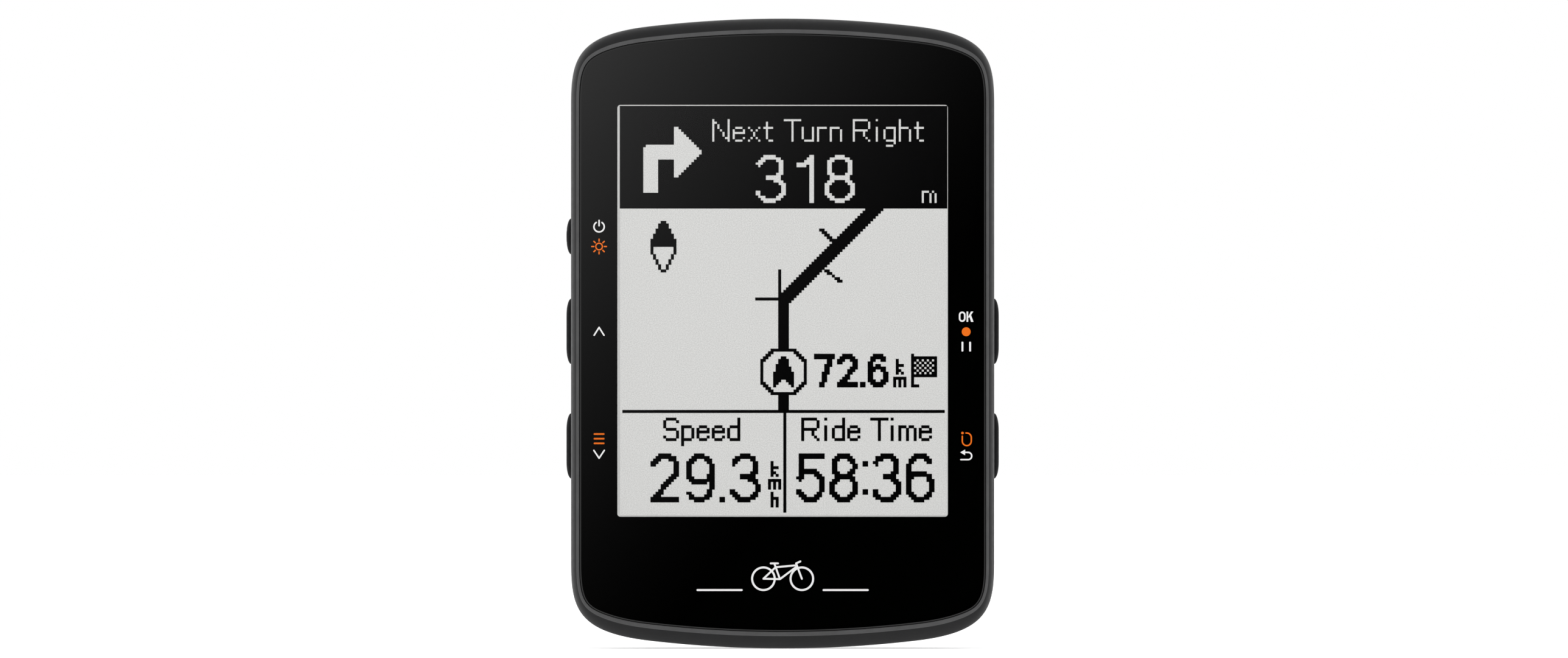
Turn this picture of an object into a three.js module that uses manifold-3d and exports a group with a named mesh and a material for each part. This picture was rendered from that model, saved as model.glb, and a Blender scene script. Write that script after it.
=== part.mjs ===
/**
 * Handlebar cycling computer with a quarter-turn mounting lug, in millimetres.
 *
 * Every piece is modelled as the device lies on its back: +X to the right, +Y towards the top end
 * and +Z out of the screen, with z = 0 on the end face of the lug. The outer group then stands the
 * device upright: the screen faces -Y, the top end points to +Z, and the origin is the centre of the
 * lug's end face.
 */
import * as THREE from 'three';
import { mergeVertices } from 'three/addons/utils/BufferGeometryUtils.js';
import Module from 'manifold-3d';

const wasm = await Module();
wasm.setup();

// ---------------------------------------------------------------- driving dimensions

const CASE_WIDTH = 55.1;
const CASE_LENGTH = 82;
const CASE_DEPTH = 15;
const LUG_HEIGHT = 4.4;

// Outline: a flat arc across each end, a blend curve round each corner, a straight side.
const END_ARC_RADIUS = 149.8;
const END_ARC_HALF_WIDTH = 17.4;
const SIDE_HALF_LENGTH = 29.7;
const CORNER_PULL_END = 9.5;
const CORNER_PULL_SIDE = 6;

// Heights of the stack, from the back of the case to the front lip.
const BACK_Z = LUG_HEIGHT;
const FRONT_Z = LUG_HEIGHT + CASE_DEPTH;
const FLOOR_Z = BACK_Z + 1.6;
const SPLIT_Z = FRONT_Z - 3.2;
const BACK_ROUNDING = 3.6;
const FLANK_DEPTH = 2.2;

// Insets from the case outline, at the sides, the top end and the bottom end.
const NO_INSET = { side: 0, top: 0, bottom: 0 };
const FLANK = { side: 0.71, top: 1.43, bottom: 1.63 };
const LENS_POCKET = { side: 1.07, top: 1.94, bottom: 2.18 };
const LENS_EDGE = { side: 1.2, top: 2.07, bottom: 2.29 };
const WALL = { side: 2, top: 2.6, bottom: 2.6 };

// Lens and display.
const LENS_THICKNESS = 1.2;
const LENS_FRONT_Z = FRONT_Z - 0.1;
const LENS_BACK_Z = LENS_FRONT_Z - LENS_THICKNESS;
const LENS_CHAMFER = 0.12;
const LEDGE_TOP_Z = LENS_BACK_Z - 0.3;
const LEDGE_BOTTOM_Z = LEDGE_TOP_Z - 1.2;
const LCD = { width: 46.4, height: 60, y: 1.6, bottom: 16.4, top: 18 };
const BACKLIGHT = { width: 45.6, height: 57.4, y: 2.4, bottom: 15.3, top: 16.3 };
const FRAME = { width: 48.4, low: -36, high: 32.8, bottom: 14.1, top: 15.2, rimTop: 16.5 };

// Circuit board and what stands on it.
const BOARD_BOTTOM_Z = 11.1;
const BOARD_TOP_Z = 12.1;
const BOARD_INSET = { side: 3.55, top: 3.4, bottom: 3.4 };
const BOARD_SCREWS = [[-20.4, 29.6], [20.8, -24]];
const SHIELD = { low: [-11, 19, 9.5], high: [11, 34, BOARD_BOTTOM_Z], wall: 0.2 };
const BUZZER = { x: 16.8, y: 25.5, radius: 4, height: 2.6, outlet: 1 };
const SENSOR = { x: 16.5, y: 33, halfWidth: 1.25, height: 1, vent: 0.5, membrane: 1.6 };
const HEADER = { low: [-20.5, 24, 8.9], high: [-14.5, 26.8, BOARD_BOTTOM_Z] };
const PLUG = { low: [-19.8, 22.7, 9.3], high: [-15.2, 26.3, 10.7], clearance: 0.1 };

// Radii of each screw's head and shank, its head height and length, and the radii of its holes.
const CASE_SCREW = {
  head: 1.5, headHeight: 1.2, shank: 0.75, length: 8.6, recess: 1.75, clearance: 0.9, pilot: 0.8,
};
const BOARD_SCREW = { head: 1.2, headHeight: 0.8, shank: 0.6, length: 2.8, clearance: 0.8, pilot: 0.65 };
const LUG_SCREW = {
  head: 1.8, headHeight: 1.2, shank: 0.9, length: 5, recess: 1.95, clearance: 1, pilot: 0.95,
};

// Bosses that the case screws go through.
const BOSS_X = 20.8;
const BOSS_Y = 34.1;
const REAR_BOSS_RADIUS = 2.4;
const FRONT_BOSS_RADIUS = 2.2;
const BOSS_NOTCH_RADIUS = 2.6;
const SCREW_SEAT_Z = BACK_Z + 1.5;

// Battery.
const BATTERY = { width: 38, low: -30, high: 16, bottom: 6.8, top: 10.9, edgeRadius: 1.2 };
const PAD_FACE_Z = BATTERY.bottom - 0.2;
const PAD_RADIUS = 17.5;
const LEAD_RADIUS = 0.45;

// Side buttons: centre along the case, length, and the side they are on.
const BUTTON_Z = 13;
const BUTTON_HEIGHT = 3.4;
const BUTTON_PROUD = 0.62;
const BUTTON_CLEARANCE = 0.15;
const LONG_BUTTON = 8.53;
const BUTTON_DOME = { endRun: 2.1, edgeRun: 1.2 };

// Sections of a button and its switch, as distances outwards from the face of the wall.
const CAP_BASE = -1.05;
const STEM = { shorter: 2.4, height: 1.8 };
const STEM_SEAL = { outer: -1.55, inner: -1.95 };
const FLANGE = { wider: 0.9, outer: -2.1, inner: -2.7 };
const NUB = { width: 1.6, tip: -3.9 };
const SWITCH = { outer: -4.6, inner: -7.5, halfLength: 1.8, height: 1.7 };
const PLUNGER = { radius: 0.55, bore: 0.62, outer: -3.95, inner: -5.6 };

const BUTTONS = [
  { name: 'power', side: -1, y: 12.66, length: 4.68 },
  { name: 'up', side: -1, y: 0.29, length: LONG_BUTTON },
  { name: 'down', side: -1, y: -14.65, length: LONG_BUTTON },
  { name: 'ok', side: 1, y: 0.29, length: LONG_BUTTON },
  { name: 'back', side: 1, y: -14.65, length: LONG_BUTTON },
];

// Charging socket in the bottom end, and the hinged rubber cover over it.
const SOCKET = { width: 9, height: 3.2, z: 9.5, front: -38.9, depth: 7.3 };
const APERTURE = { width: 10.4, height: 4 };
const COVER = { halfWidth: 7.5, thickness: 1.3, top: 12.3, cornerRadius: 0.9 };
const COVER_RECESS_Y = -CASE_LENGTH / 2 + 1.4;
const COVER_GAP = 0.15;
const COVER_PLUG = { narrower: 0.7, lower: 0.8, tip: 39.15, base: 40 };
const NAIL_NOTCH = { width: 5, height: 1.4 };
const SOCKET_SEAL = { low: 38.45, high: 38.95, gap: 0.03 };
const SOCKET_WALL = 0.3;
const TONGUE = { halfWidth: 3.35, halfHeight: 0.35, setBack: 0.6 };
const HINGE = { y: -40.1, z: 6.95, knuckle: 0.65, pin: 0.3, bore: 0.35 };

// Quarter-turn lug.
const LUG = { flange: 16.2, neck: 12, ears: 14.75, earWidth: 15, earThickness: 2 };
const LUG_FLANGE_TOP_Z = BACK_Z + 0.9;
const LUG_SCREW_Y = 8;
const LUG_SCREW_SEAT_Z = 1.3;

// ---------------------------------------------------------------- shapes and solids

/** Quarter of the case outline from the top centre to the middle of the right side, with normals. */
function quarterOutline() {
  const endAngle = Math.asin(END_ARC_HALF_WIDTH / END_ARC_RADIUS);
  const arcCentreY = CASE_LENGTH / 2 - END_ARC_RADIUS;
  const samples = [];
  const arcSteps = 3;
  for (let i = 0; i < arcSteps; i++) {
    const normal = new THREE.Vector2(Math.sin(endAngle * i / arcSteps), Math.cos(endAngle * i / arcSteps));
    const point = normal.clone().multiplyScalar(END_ARC_RADIUS);
    point.y += arcCentreY;
    samples.push({ point, normal });
  }
  const corner = new THREE.CubicBezierCurve(
    new THREE.Vector2(END_ARC_HALF_WIDTH, arcCentreY + END_ARC_RADIUS * Math.cos(endAngle)),
    new THREE.Vector2(
      END_ARC_HALF_WIDTH + CORNER_PULL_END * Math.cos(endAngle),
      arcCentreY + END_ARC_RADIUS * Math.cos(endAngle) - CORNER_PULL_END * Math.sin(endAngle),
    ),
    new THREE.Vector2(CASE_WIDTH / 2, SIDE_HALF_LENGTH + CORNER_PULL_SIDE),
    new THREE.Vector2(CASE_WIDTH / 2, SIDE_HALF_LENGTH),
  );
  const cornerSteps = 8;
  for (let i = 0; i <= cornerSteps; i++) {
    const tangent = corner.getTangent(i / cornerSteps);
    samples.push({
      point: corner.getPoint(i / cornerSteps),
      normal: new THREE.Vector2(-tangent.y, tangent.x),
    });
  }
  samples.push({ point: new THREE.Vector2(CASE_WIDTH / 2, 0), normal: new THREE.Vector2(1, 0) });
  return samples;
}

const QUARTER = quarterOutline();
const QUARTER_REVERSED = [...QUARTER].reverse();

/** The case outline moved inwards by an inset, as a closed anticlockwise ring of points. */
function caseRing(inset) {
  const quarters = [
    [1, 1, QUARTER],
    [1, -1, QUARTER_REVERSED],
    [-1, -1, QUARTER],
    [-1, 1, QUARTER_REVERSED],
  ];
  const ring = [];
  for (const [signX, signY, samples] of quarters) {
    const end = signY > 0 ? inset.top : inset.bottom;
    for (const { point, normal } of samples.slice(0, -1)) {
      const move = inset.side * normal.x ** 2 + end * normal.y ** 2;
      ring.push(new THREE.Vector2(
        signX * (point.x - move * normal.x),
        signY * (point.y - move * normal.y),
      ));
    }
  }
  return ring.reverse();
}

/** An inset scaled by a factor. */
function scaled(inset, factor) {
  return { side: inset.side * factor, top: inset.top * factor, bottom: inset.bottom * factor };
}

/** An inset with the same distance added all round. */
function deeper(inset, distance) {
  return { side: inset.side + distance, top: inset.top + distance, bottom: inset.bottom + distance };
}

/** A ring of points round an obround of the given width and height, centred on the origin. */
function obroundRing(width, height, pointsPerEnd = 7) {
  const radius = Math.min(width, height) / 2;
  const ring = [];
  for (const side of [1, -1]) {
    for (let i = 0; i < pointsPerEnd; i++) {
      const angle = Math.PI * (i / (pointsPerEnd - 1) - 0.5);
      ring.push(new THREE.Vector2(
        side * (width / 2 - radius + radius * Math.cos(angle)),
        side * radius * Math.sin(angle),
      ));
    }
  }
  return ring;
}

/** A ring of points round a circle; every second point may lie on an inner radius. */
function circleRing(radius, points, innerRadius = radius) {
  const ring = [];
  for (let i = 0; i < points; i++) {
    const reach = i % 2 === 0 ? radius : innerRadius;
    const angle = 2 * Math.PI * i / points;
    ring.push(new THREE.Vector2(reach * Math.cos(angle), reach * Math.sin(angle)));
  }
  return ring;
}

/** A closed solid through rings with the same number of points; levels run upwards along Z. */
function loft(levels) {
  const count = levels[0].ring.length;
  const positions = [];
  for (const { z, ring } of levels) {
    for (const point of ring) positions.push(point.x, point.y, z);
  }
  const indices = [];
  for (let level = 0; level < levels.length - 1; level++) {
    for (let i = 0; i < count; i++) {
      const a = level * count + i;
      const b = level * count + (i + 1) % count;
      indices.push(a, b, b + count, a, b + count, a + count);
    }
  }
  const topStart = (levels.length - 1) * count;
  for (const [a, b, c] of THREE.ShapeUtils.triangulateShape(levels[0].ring, [])) {
    indices.push(a, c, b);
  }
  for (const [a, b, c] of THREE.ShapeUtils.triangulateShape(levels.at(-1).ring, [])) {
    indices.push(topStart + a, topStart + b, topStart + c);
  }
  const geometry = new THREE.BufferGeometry();
  geometry.setAttribute('position', new THREE.Float32BufferAttribute(positions, 3));
  geometry.setIndex(indices);
  return geometry;
}

/** A plate between two heights, with straight walls, from an outer ring and rings for its holes. */
function plate(ring, bottom, top, holes = []) {
  const shape = new THREE.Shape(ring);
  for (const hole of holes) shape.holes.push(new THREE.Path(hole));
  const geometry = new THREE.ExtrudeGeometry(shape, { depth: top - bottom, bevelEnabled: false });
  return geometry.translate(0, 0, bottom);
}

/** A ring round a rectangle with rounded corners, centred at x, y. */
function rectangleRing(width, height, radius, x = 0, y = 0, steps = 3) {
  const ring = [];
  const corners = [[1, 1, 0], [-1, 1, 1], [-1, -1, 2], [1, -1, 3]];
  for (const [signX, signY, quarter] of corners) {
    for (let i = 0; i <= steps; i++) {
      const angle = Math.PI / 2 * (quarter + i / steps);
      ring.push(new THREE.Vector2(
        x + signX * (width / 2 - radius) + radius * Math.cos(angle),
        y + signY * (height / 2 - radius) + radius * Math.sin(angle),
      ));
    }
  }
  return ring;
}

/** A box between two corners. */
function block(low, high) {
  const size = high.map((value, i) => value - low[i]);
  const centre = high.map((value, i) => (value + low[i]) / 2);
  return new THREE.BoxGeometry(...size).translate(...centre);
}

/** A cylinder along Z between two heights. */
function post(radius, x, y, bottom, top, sides = 20) {
  const geometry = new THREE.CylinderGeometry(radius, radius, top - bottom, sides);
  return geometry.rotateX(Math.PI / 2).translate(x, y, (bottom + top) / 2);
}

/** A cylinder along X between two stations. */
function rod(radius, start, end, y, z, sides = 16) {
  const geometry = new THREE.CylinderGeometry(radius, radius, end - start, sides);
  return geometry.rotateZ(Math.PI / 2).translate((start + end) / 2, y, z);
}

/** Turns a geometry built along Z so that its Z runs along X. */
function alongX(geometry) {
  return geometry.rotateY(Math.PI / 2);
}

/** Turns a geometry built along Z so that its Z runs along -Y, with its own Y along Z. */
function alongMinusY(geometry) {
  return geometry.rotateX(Math.PI / 2);
}

/** A manifold solid from a geometry. */
function solid(geometry) {
  const bare = geometry.clone();
  bare.deleteAttribute('normal');
  bare.deleteAttribute('uv');
  const merged = mergeVertices(bare, 1e-5);
  return new wasm.Manifold(new wasm.Mesh({
    numProp: 3,
    vertProperties: new Float32Array(merged.attributes.position.array),
    triVerts: new Uint32Array(merged.index.array),
  }));
}

/** The geometry of a manifold solid. */
function geometryOf(manifold) {
  const mesh = manifold.getMesh();
  const geometry = new THREE.BufferGeometry();
  geometry.setAttribute('position', new THREE.BufferAttribute(mesh.vertProperties, 3));
  geometry.setIndex(new THREE.BufferAttribute(mesh.triVerts, 1));
  geometry.computeVertexNormals();
  return geometry;
}

/** One geometry with others joined to it, and then others cut from it. */
function carve(base, joins, cuts) {
  let result = solid(base);
  for (const geometry of joins) result = result.add(solid(geometry));
  for (const geometry of cuts) result = result.subtract(solid(geometry));
  return geometryOf(result);
}

/** The four case screw positions, in the order top left, top right, bottom left, bottom right. */
const BOSSES = [[-BOSS_X, BOSS_Y], [BOSS_X, BOSS_Y], [-BOSS_X, -BOSS_Y], [BOSS_X, -BOSS_Y]];

// ---------------------------------------------------------------- materials

/** A material of one colour. */
function material(color, roughness, metalness = 0) {
  return new THREE.MeshStandardMaterial({ color, roughness, metalness });
}

const MATERIALS = {
  lens: material('#050505', 0.05),
  frontCase: material('#2a2a2b', 0.42),
  rearCase: material('#232324', 0.6),
  rubber: material('#1d1d1e', 0.8),
  seal: material('#4a4c50', 0.75),
  display: material('#d2d3d0', 0.35),
  lightGuide: material('#e9ebe6', 0.3),
  carrier: material('#3a3c40', 0.6),
  board: material('#15452c', 0.5),
  chip: material('#141416', 0.5),
  tin: material('#b9bcc0', 0.32, 0.9),
  steel: material('#8d9196', 0.35, 1),
  ceramic: material('#c9c2b2', 0.6),
  cell: material('#a9adb3', 0.4, 0.3),
  foam: material('#5b5d60', 0.95),
  ivory: material('#e7e1cf', 0.5),
  flex: material('#b0702a', 0.45),
  lug: material('#1a1a1b', 0.5),
  redLead: material('#b3261e', 0.5),
  blackLead: material('#111112', 0.5),
};

/** A named piece. */
function piece(name, geometry, pieceMaterial) {
  const mesh = new THREE.Mesh(geometry, pieceMaterial);
  mesh.name = name;
  return mesh;
}

// ---------------------------------------------------------------- casing

/** Front bezel: rounded flank, flat lip, lens pocket, ledge under the lens and four screw bosses. */
function frontHousing() {
  const levels = [{ z: SPLIT_Z, ring: caseRing(NO_INSET) }];
  const flankSteps = 4;
  for (let i = 0; i <= flankSteps; i++) {
    const angle = Math.PI / 2 * i / flankSteps;
    levels.push({
      z: FRONT_Z - FLANK_DEPTH * (1 - Math.sin(angle)),
      ring: caseRing(scaled(FLANK, 1 - Math.cos(angle))),
    });
  }
  const window = rectangleRing(LCD.width + 0.6, LCD.height + 0.6, 1, 0, LCD.y);
  const bosses = BOSSES.map(([x, y]) => (
    post(FRONT_BOSS_RADIUS, x, y, BOARD_BOTTOM_Z, LEDGE_BOTTOM_Z + 0.4)
  ));
  const pilots = BOSSES.map(([x, y]) => (
    post(CASE_SCREW.pilot, x, y, BOARD_BOTTOM_Z - 1, SCREW_SEAT_Z + CASE_SCREW.length + 0.3, 12)
  ));
  const cavity = plate(caseRing(WALL), SPLIT_Z - 1, LEDGE_BOTTOM_Z);
  const pocket = plate(caseRing(LENS_POCKET), LEDGE_TOP_Z, FRONT_Z + 1);
  const opening = plate(window, LEDGE_BOTTOM_Z - 1, LEDGE_TOP_Z + 1);
  const shell = carve(loft(levels), [], [cavity, pocket, opening]);
  return piece('front_housing', carve(shell, bosses, pilots), MATERIALS.frontCase);
}

/** The outside of the rear housing, up to a height. */
function rearOutside(top) {
  const levels = [];
  const steps = 5;
  for (let i = 0; i <= steps; i++) {
    const angle = Math.PI / 2 * (1 - i / steps);
    levels.push({
      z: BACK_Z + BACK_ROUNDING * (1 - Math.sin(angle)),
      ring: caseRing(deeper(NO_INSET, BACK_ROUNDING * (1 - Math.cos(angle)))),
    });
  }
  levels.push({ z: top, ring: caseRing(NO_INSET) });
  return loft(levels);
}

/** The holes in the side walls that the buttons work through. */
function buttonHoles() {
  return BUTTONS.map(({ side, y, length }) => {
    const ring = obroundRing(length + 2 * BUTTON_CLEARANCE, BUTTON_HEIGHT + 2 * BUTTON_CLEARANCE);
    const upright = ring.map((point) => new THREE.Vector2(point.y, point.x));
    const geometry = alongX(plate(upright.reverse(), -3, 3));
    return geometry.translate(side * CASE_WIDTH / 2, y, BUTTON_Z);
  });
}

/** The cover's recess, a nail notch, the hinge pin's bore and the way through to the socket. */
function socketCuts() {
  const halfWidth = COVER.halfWidth + COVER_GAP;
  const low = HINGE.z - 1;
  const high = COVER.top + COVER_GAP;
  const middle = (low + high) / 2;
  const outside = CASE_LENGTH / 2 + 2;
  const inside = CASE_LENGTH / 2 - WALL.bottom - 2;
  const recess = rectangleRing(2 * halfWidth, high - low, COVER.cornerRadius + COVER_GAP, 0, middle);
  const aperture = alongMinusY(plate(obroundRing(APERTURE.width, APERTURE.height), inside, outside));
  const notchRing = obroundRing(NAIL_NOTCH.width, NAIL_NOTCH.height);
  const notch = alongMinusY(plate(notchRing, -COVER_RECESS_Y + 0.5, outside));
  const boreReach = COVER.halfWidth + 1.4;
  return [
    alongMinusY(plate(recess, -COVER_RECESS_Y, outside)),
    notch.translate(0, 0, COVER.top),
    aperture.translate(0, 0, SOCKET.z),
    rod(HINGE.knuckle + 0.2, -halfWidth, halfWidth, HINGE.y, HINGE.z),
    rod(HINGE.bore, -boreReach, boreReach, HINGE.y, HINGE.z),
  ];
}

/** Rear housing: a tub with a rounded back, sealing groove, bosses and all the openings. */
function rearHousing() {
  const grooveWidth = 0.8;
  const grooveOuter = { side: 0.6, top: 0.9, bottom: 0.9 };
  const cavity = loft([
    { z: FLOOR_Z, ring: caseRing(deeper(WALL, 1.2)) },
    { z: FLOOR_Z + 1.2, ring: caseRing(WALL) },
    { z: SPLIT_Z + 1, ring: caseRing(WALL) },
  ]);
  const groove = plate(
    caseRing(grooveOuter), SPLIT_Z - 0.5, SPLIT_Z + 1, [caseRing(deeper(grooveOuter, grooveWidth))],
  );
  const tub = carve(rearOutside(SPLIT_Z), [], [cavity, groove]);
  const joins = BOSSES.map(([x, y]) => (
    post(REAR_BOSS_RADIUS, x, y, FLOOR_Z - 0.5, BOARD_BOTTOM_Z - 0.05)
  ));
  joins.push(post(PAD_RADIUS, 0, 0, FLOOR_Z - 0.5, PAD_FACE_Z, 40));
  const cuts = [...buttonHoles(), ...socketCuts()];
  for (const [x, y] of BOSSES) {
    cuts.push(post(CASE_SCREW.recess, x, y, BACK_Z - 1, SCREW_SEAT_Z));
    cuts.push(post(CASE_SCREW.clearance, x, y, SCREW_SEAT_Z - 0.5, BOARD_BOTTOM_Z + 1, 12));
  }
  cuts.push(post(LUG.flange + 0.1, 0, 0, BACK_Z - 1, LUG_FLANGE_TOP_Z, 48));
  for (const sign of [1, -1]) {
    const pilotTop = PAD_FACE_Z - 0.1;
    cuts.push(post(LUG_SCREW.pilot, 0, sign * LUG_SCREW_Y, LUG_FLANGE_TOP_Z - 0.5, pilotTop, 12));
  }
  cuts.push(post(SENSOR.vent, SENSOR.x, SENSOR.y, BACK_Z - 1, FLOOR_Z + 1, 10));
  return piece('rear_housing', carve(tub, joins, cuts), MATERIALS.rearCase);
}

/** Seal cord lying in the groove between the two housings. */
function housingSeal() {
  const outer = { side: 0.65, top: 0.95, bottom: 0.95 };
  const geometry = plate(caseRing(outer), SPLIT_Z - 0.5, SPLIT_Z, [caseRing(deeper(outer, 0.7))]);
  return piece('housing_seal', geometry, MATERIALS.seal);
}

/** A cap screw pointing upwards from its head, with a six-lobed socket in the head. */
function screw(name, x, y, seat, { head, headHeight, shank, length }) {
  const points = 12;
  const socketRing = circleRing(head * 0.5, points, head * 0.38);
  const headRing = circleRing(head, points);
  const shankRing = circleRing(shank, points);
  const geometry = loft([
    { z: -headHeight * 0.4, ring: socketRing },
    { z: -headHeight, ring: socketRing },
    { z: -headHeight, ring: headRing },
    { z: 0, ring: headRing },
    { z: 0, ring: shankRing },
    { z: length, ring: shankRing },
  ]);
  const mesh = piece(name, geometry, MATERIALS.steel);
  mesh.position.set(x, y, seat);
  return mesh;
}

/** The screws that hold the two housings together. */
function caseScrews() {
  return BOSSES.map(([x, y], i) => screw(`housing_screw_${i + 1}`, x, y, SCREW_SEAT_Z, CASE_SCREW));
}

// ---------------------------------------------------------------- lens and display

/** Cover glass with a small chamfer round its front edge. */
function frontLens() {
  const geometry = loft([
    { z: LENS_BACK_Z, ring: caseRing(LENS_EDGE) },
    { z: LENS_FRONT_Z - LENS_CHAMFER, ring: caseRing(LENS_EDGE) },
    { z: LENS_FRONT_Z, ring: caseRing(deeper(LENS_EDGE, LENS_CHAMFER)) },
  ]);
  return piece('front_lens', geometry, MATERIALS.lens);
}

/** Adhesive frame between the lens and the ledge of the front housing. */
function lensGasket() {
  const window = rectangleRing(LCD.width + 1.2, LCD.height + 1.2, 1.2, 0, LCD.y);
  const geometry = plate(caseRing(deeper(LENS_EDGE, 0.25)), LEDGE_TOP_Z, LENS_BACK_Z, [window]);
  return piece('lens_gasket', geometry, MATERIALS.foam);
}

/** Display glass and the light guide behind it. */
function display() {
  const lcd = plate(rectangleRing(LCD.width, LCD.height, 0.5, 0, LCD.y), LCD.bottom, LCD.top);
  const guideRing = rectangleRing(BACKLIGHT.width, BACKLIGHT.height, 0.8, 0, BACKLIGHT.y);
  return [
    piece('lcd_panel', lcd, MATERIALS.display),
    piece('backlight_plate', plate(guideRing, BACKLIGHT.bottom, BACKLIGHT.top), MATERIALS.lightGuide),
  ];
}

/** Moulded carrier that locates the display and takes the circuit board's screws. */
function displayFrame() {
  const middle = (FRAME.high + FRAME.low) / 2;
  const outer = rectangleRing(FRAME.width, FRAME.high - FRAME.low, 1.5, 0, middle);
  const rimInner = rectangleRing(LCD.width + 0.4, LCD.height + 0.4, 0.6, 0, LCD.y);
  const rimOuter = rectangleRing(FRAME.width, LCD.height + 2, 1.2, 0, LCD.y);
  const rim = plate(rimOuter, FRAME.top - 0.5, FRAME.rimTop, [rimInner]);
  const floorWindow = rectangleRing(36, 46, 2, 0, LCD.y);
  const flexSlot = rectangleRing(14, 1.7, 0.4, 0, -31.6);
  const floor = plate(outer, FRAME.bottom, FRAME.top, [floorWindow, flexSlot]);
  const posts = BOARD_SCREWS.map(([x, y]) => post(1.5, x, y, BOARD_TOP_Z, FRAME.bottom + 0.5, 14));
  const notches = BOSSES.map(([x, y]) => (
    post(BOSS_NOTCH_RADIUS, x, y, FRAME.bottom - 1, FRAME.rimTop + 1, 16)
  ));
  const pilots = BOARD_SCREWS.map(([x, y]) => (
    post(BOARD_SCREW.pilot, x, y, BOARD_TOP_Z - 1, FRAME.bottom, 10)
  ));
  const flexGap = block([-7, -30.5, 16], [7, -28, 17]);
  const geometry = carve(floor, [rim, ...posts], [...notches, ...pilots, flexGap]);
  return piece('display_frame', geometry, MATERIALS.carrier);
}

/** Flat flexible lead from the underside of the display down to its connector on the board. */
function displayFlex() {
  const width = 12;
  const thickness = 0.15;
  const bendRadius = 0.9;
  const dropY = -31.6;
  const start = new THREE.Vector2(-26.6, LCD.bottom - 0.1);
  const end = new THREE.Vector2(-32.75, 12.6);
  const line = new THREE.Path();
  line.moveTo(start.x, start.y);
  line.lineTo(dropY + bendRadius, start.y);
  line.absarc(dropY + bendRadius, start.y - bendRadius, bendRadius, Math.PI / 2, Math.PI, false);
  line.lineTo(dropY, end.y + bendRadius);
  line.absarc(dropY - bendRadius, end.y + bendRadius, bendRadius, 0, -Math.PI / 2, true);
  line.lineTo(end.x, end.y);
  const points = line.getPoints(4);
  const side = (offset) => points.map((point, i) => {
    const before = points[Math.max(i - 1, 0)];
    const after = points[Math.min(i + 1, points.length - 1)];
    const along = after.clone().sub(before).normalize();
    return new THREE.Vector2(point.x - along.y * offset, point.y + along.x * offset);
  });
  const band = [...side(thickness / 2), ...side(-thickness / 2).reverse()];
  const shape = new THREE.Shape(band);
  const geometry = new THREE.ExtrudeGeometry(shape, { depth: width, bevelEnabled: false });
  geometry.rotateY(Math.PI / 2).rotateX(Math.PI / 2).translate(-width / 2, 0, 0);
  return piece('display_flex', geometry, MATERIALS.flex);
}

// ---------------------------------------------------------------- circuit board

/** Main circuit board, notched round the case bosses and drilled for its screws. */
function mainBoard() {
  const base = plate(caseRing(BOARD_INSET), BOARD_BOTTOM_Z, BOARD_TOP_Z);
  const below = BOARD_BOTTOM_Z - 1;
  const above = BOARD_TOP_Z + 1;
  const cuts = BOSSES.map(([x, y]) => post(BOSS_NOTCH_RADIUS, x, y, below, above));
  for (const [x, y] of BOARD_SCREWS) cuts.push(post(BOARD_SCREW.clearance, x, y, below, above, 12));
  return piece('main_pcb', carve(base, [], cuts), MATERIALS.board);
}

/** The screws that hold the board to the display frame. */
function boardScrews() {
  return BOARD_SCREWS.map(([x, y], i) => (
    screw(`pcb_screw_${i + 1}`, x, y, BOARD_BOTTOM_Z, BOARD_SCREW)
  ));
}

/** Shielding can over the processor and memory, open towards the board. */
function shieldedParts() {
  const inside = block(
    SHIELD.low.map((value) => value + SHIELD.wall),
    [SHIELD.high[0] - SHIELD.wall, SHIELD.high[1] - SHIELD.wall, BOARD_BOTTOM_Z + 1],
  );
  const can = carve(block(SHIELD.low, SHIELD.high), [], [inside]);
  return [
    piece('shield_can', can, MATERIALS.tin),
    piece('processor_chip', block([-8.5, 22, 10.1], [0.5, 31, BOARD_BOTTOM_Z]), MATERIALS.chip),
    piece('memory_chip', block([3, 24, 10.3], [9, 29, BOARD_BOTTOM_Z]), MATERIALS.chip),
  ];
}

/** Ceramic satellite antenna block standing on the front of the board at the top end. */
function gpsAntenna() {
  return piece('gps_antenna', block([-11, 33.3, BOARD_TOP_Z], [11, 37.3, 16.2]), MATERIALS.ceramic);
}

/** Connector that takes the display's flexible lead. */
function displayConnector() {
  return piece('display_connector', block([-7, -35.6, BOARD_TOP_Z], [7, -32.8, 13.1]), MATERIALS.ivory);
}

/** Sounder, with the ring of its outlet on the side facing the back. */
function buzzer() {
  const points = 20;
  const rim = circleRing(BUZZER.radius, points);
  const outlet = circleRing(BUZZER.outlet, points);
  const geometry = loft([
    { z: 0.6, ring: outlet },
    { z: 0, ring: outlet },
    { z: 0, ring: circleRing(BUZZER.radius - 0.3, points) },
    { z: 0.3, ring: rim },
    { z: BUZZER.height, ring: rim },
  ]);
  const mesh = piece('buzzer', geometry, MATERIALS.chip);
  mesh.position.set(BUZZER.x, BUZZER.y, BOARD_BOTTOM_Z - BUZZER.height);
  return mesh;
}

/** Air pressure sensor on the board and the membrane over the vent behind it. */
function altitudeParts() {
  const { x, y, halfWidth, height } = SENSOR;
  const sensor = block(
    [x - halfWidth, y - halfWidth, BOARD_BOTTOM_Z - height],
    [x + halfWidth, y + halfWidth, BOARD_BOTTOM_Z],
  );
  const membrane = post(SENSOR.membrane, x, y, FLOOR_Z, FLOOR_Z + 0.2, 14);
  return [
    piece('pressure_sensor', sensor, MATERIALS.tin),
    piece('vent_membrane', membrane, MATERIALS.ivory),
  ];
}

// ---------------------------------------------------------------- charging socket and its cover

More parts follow.
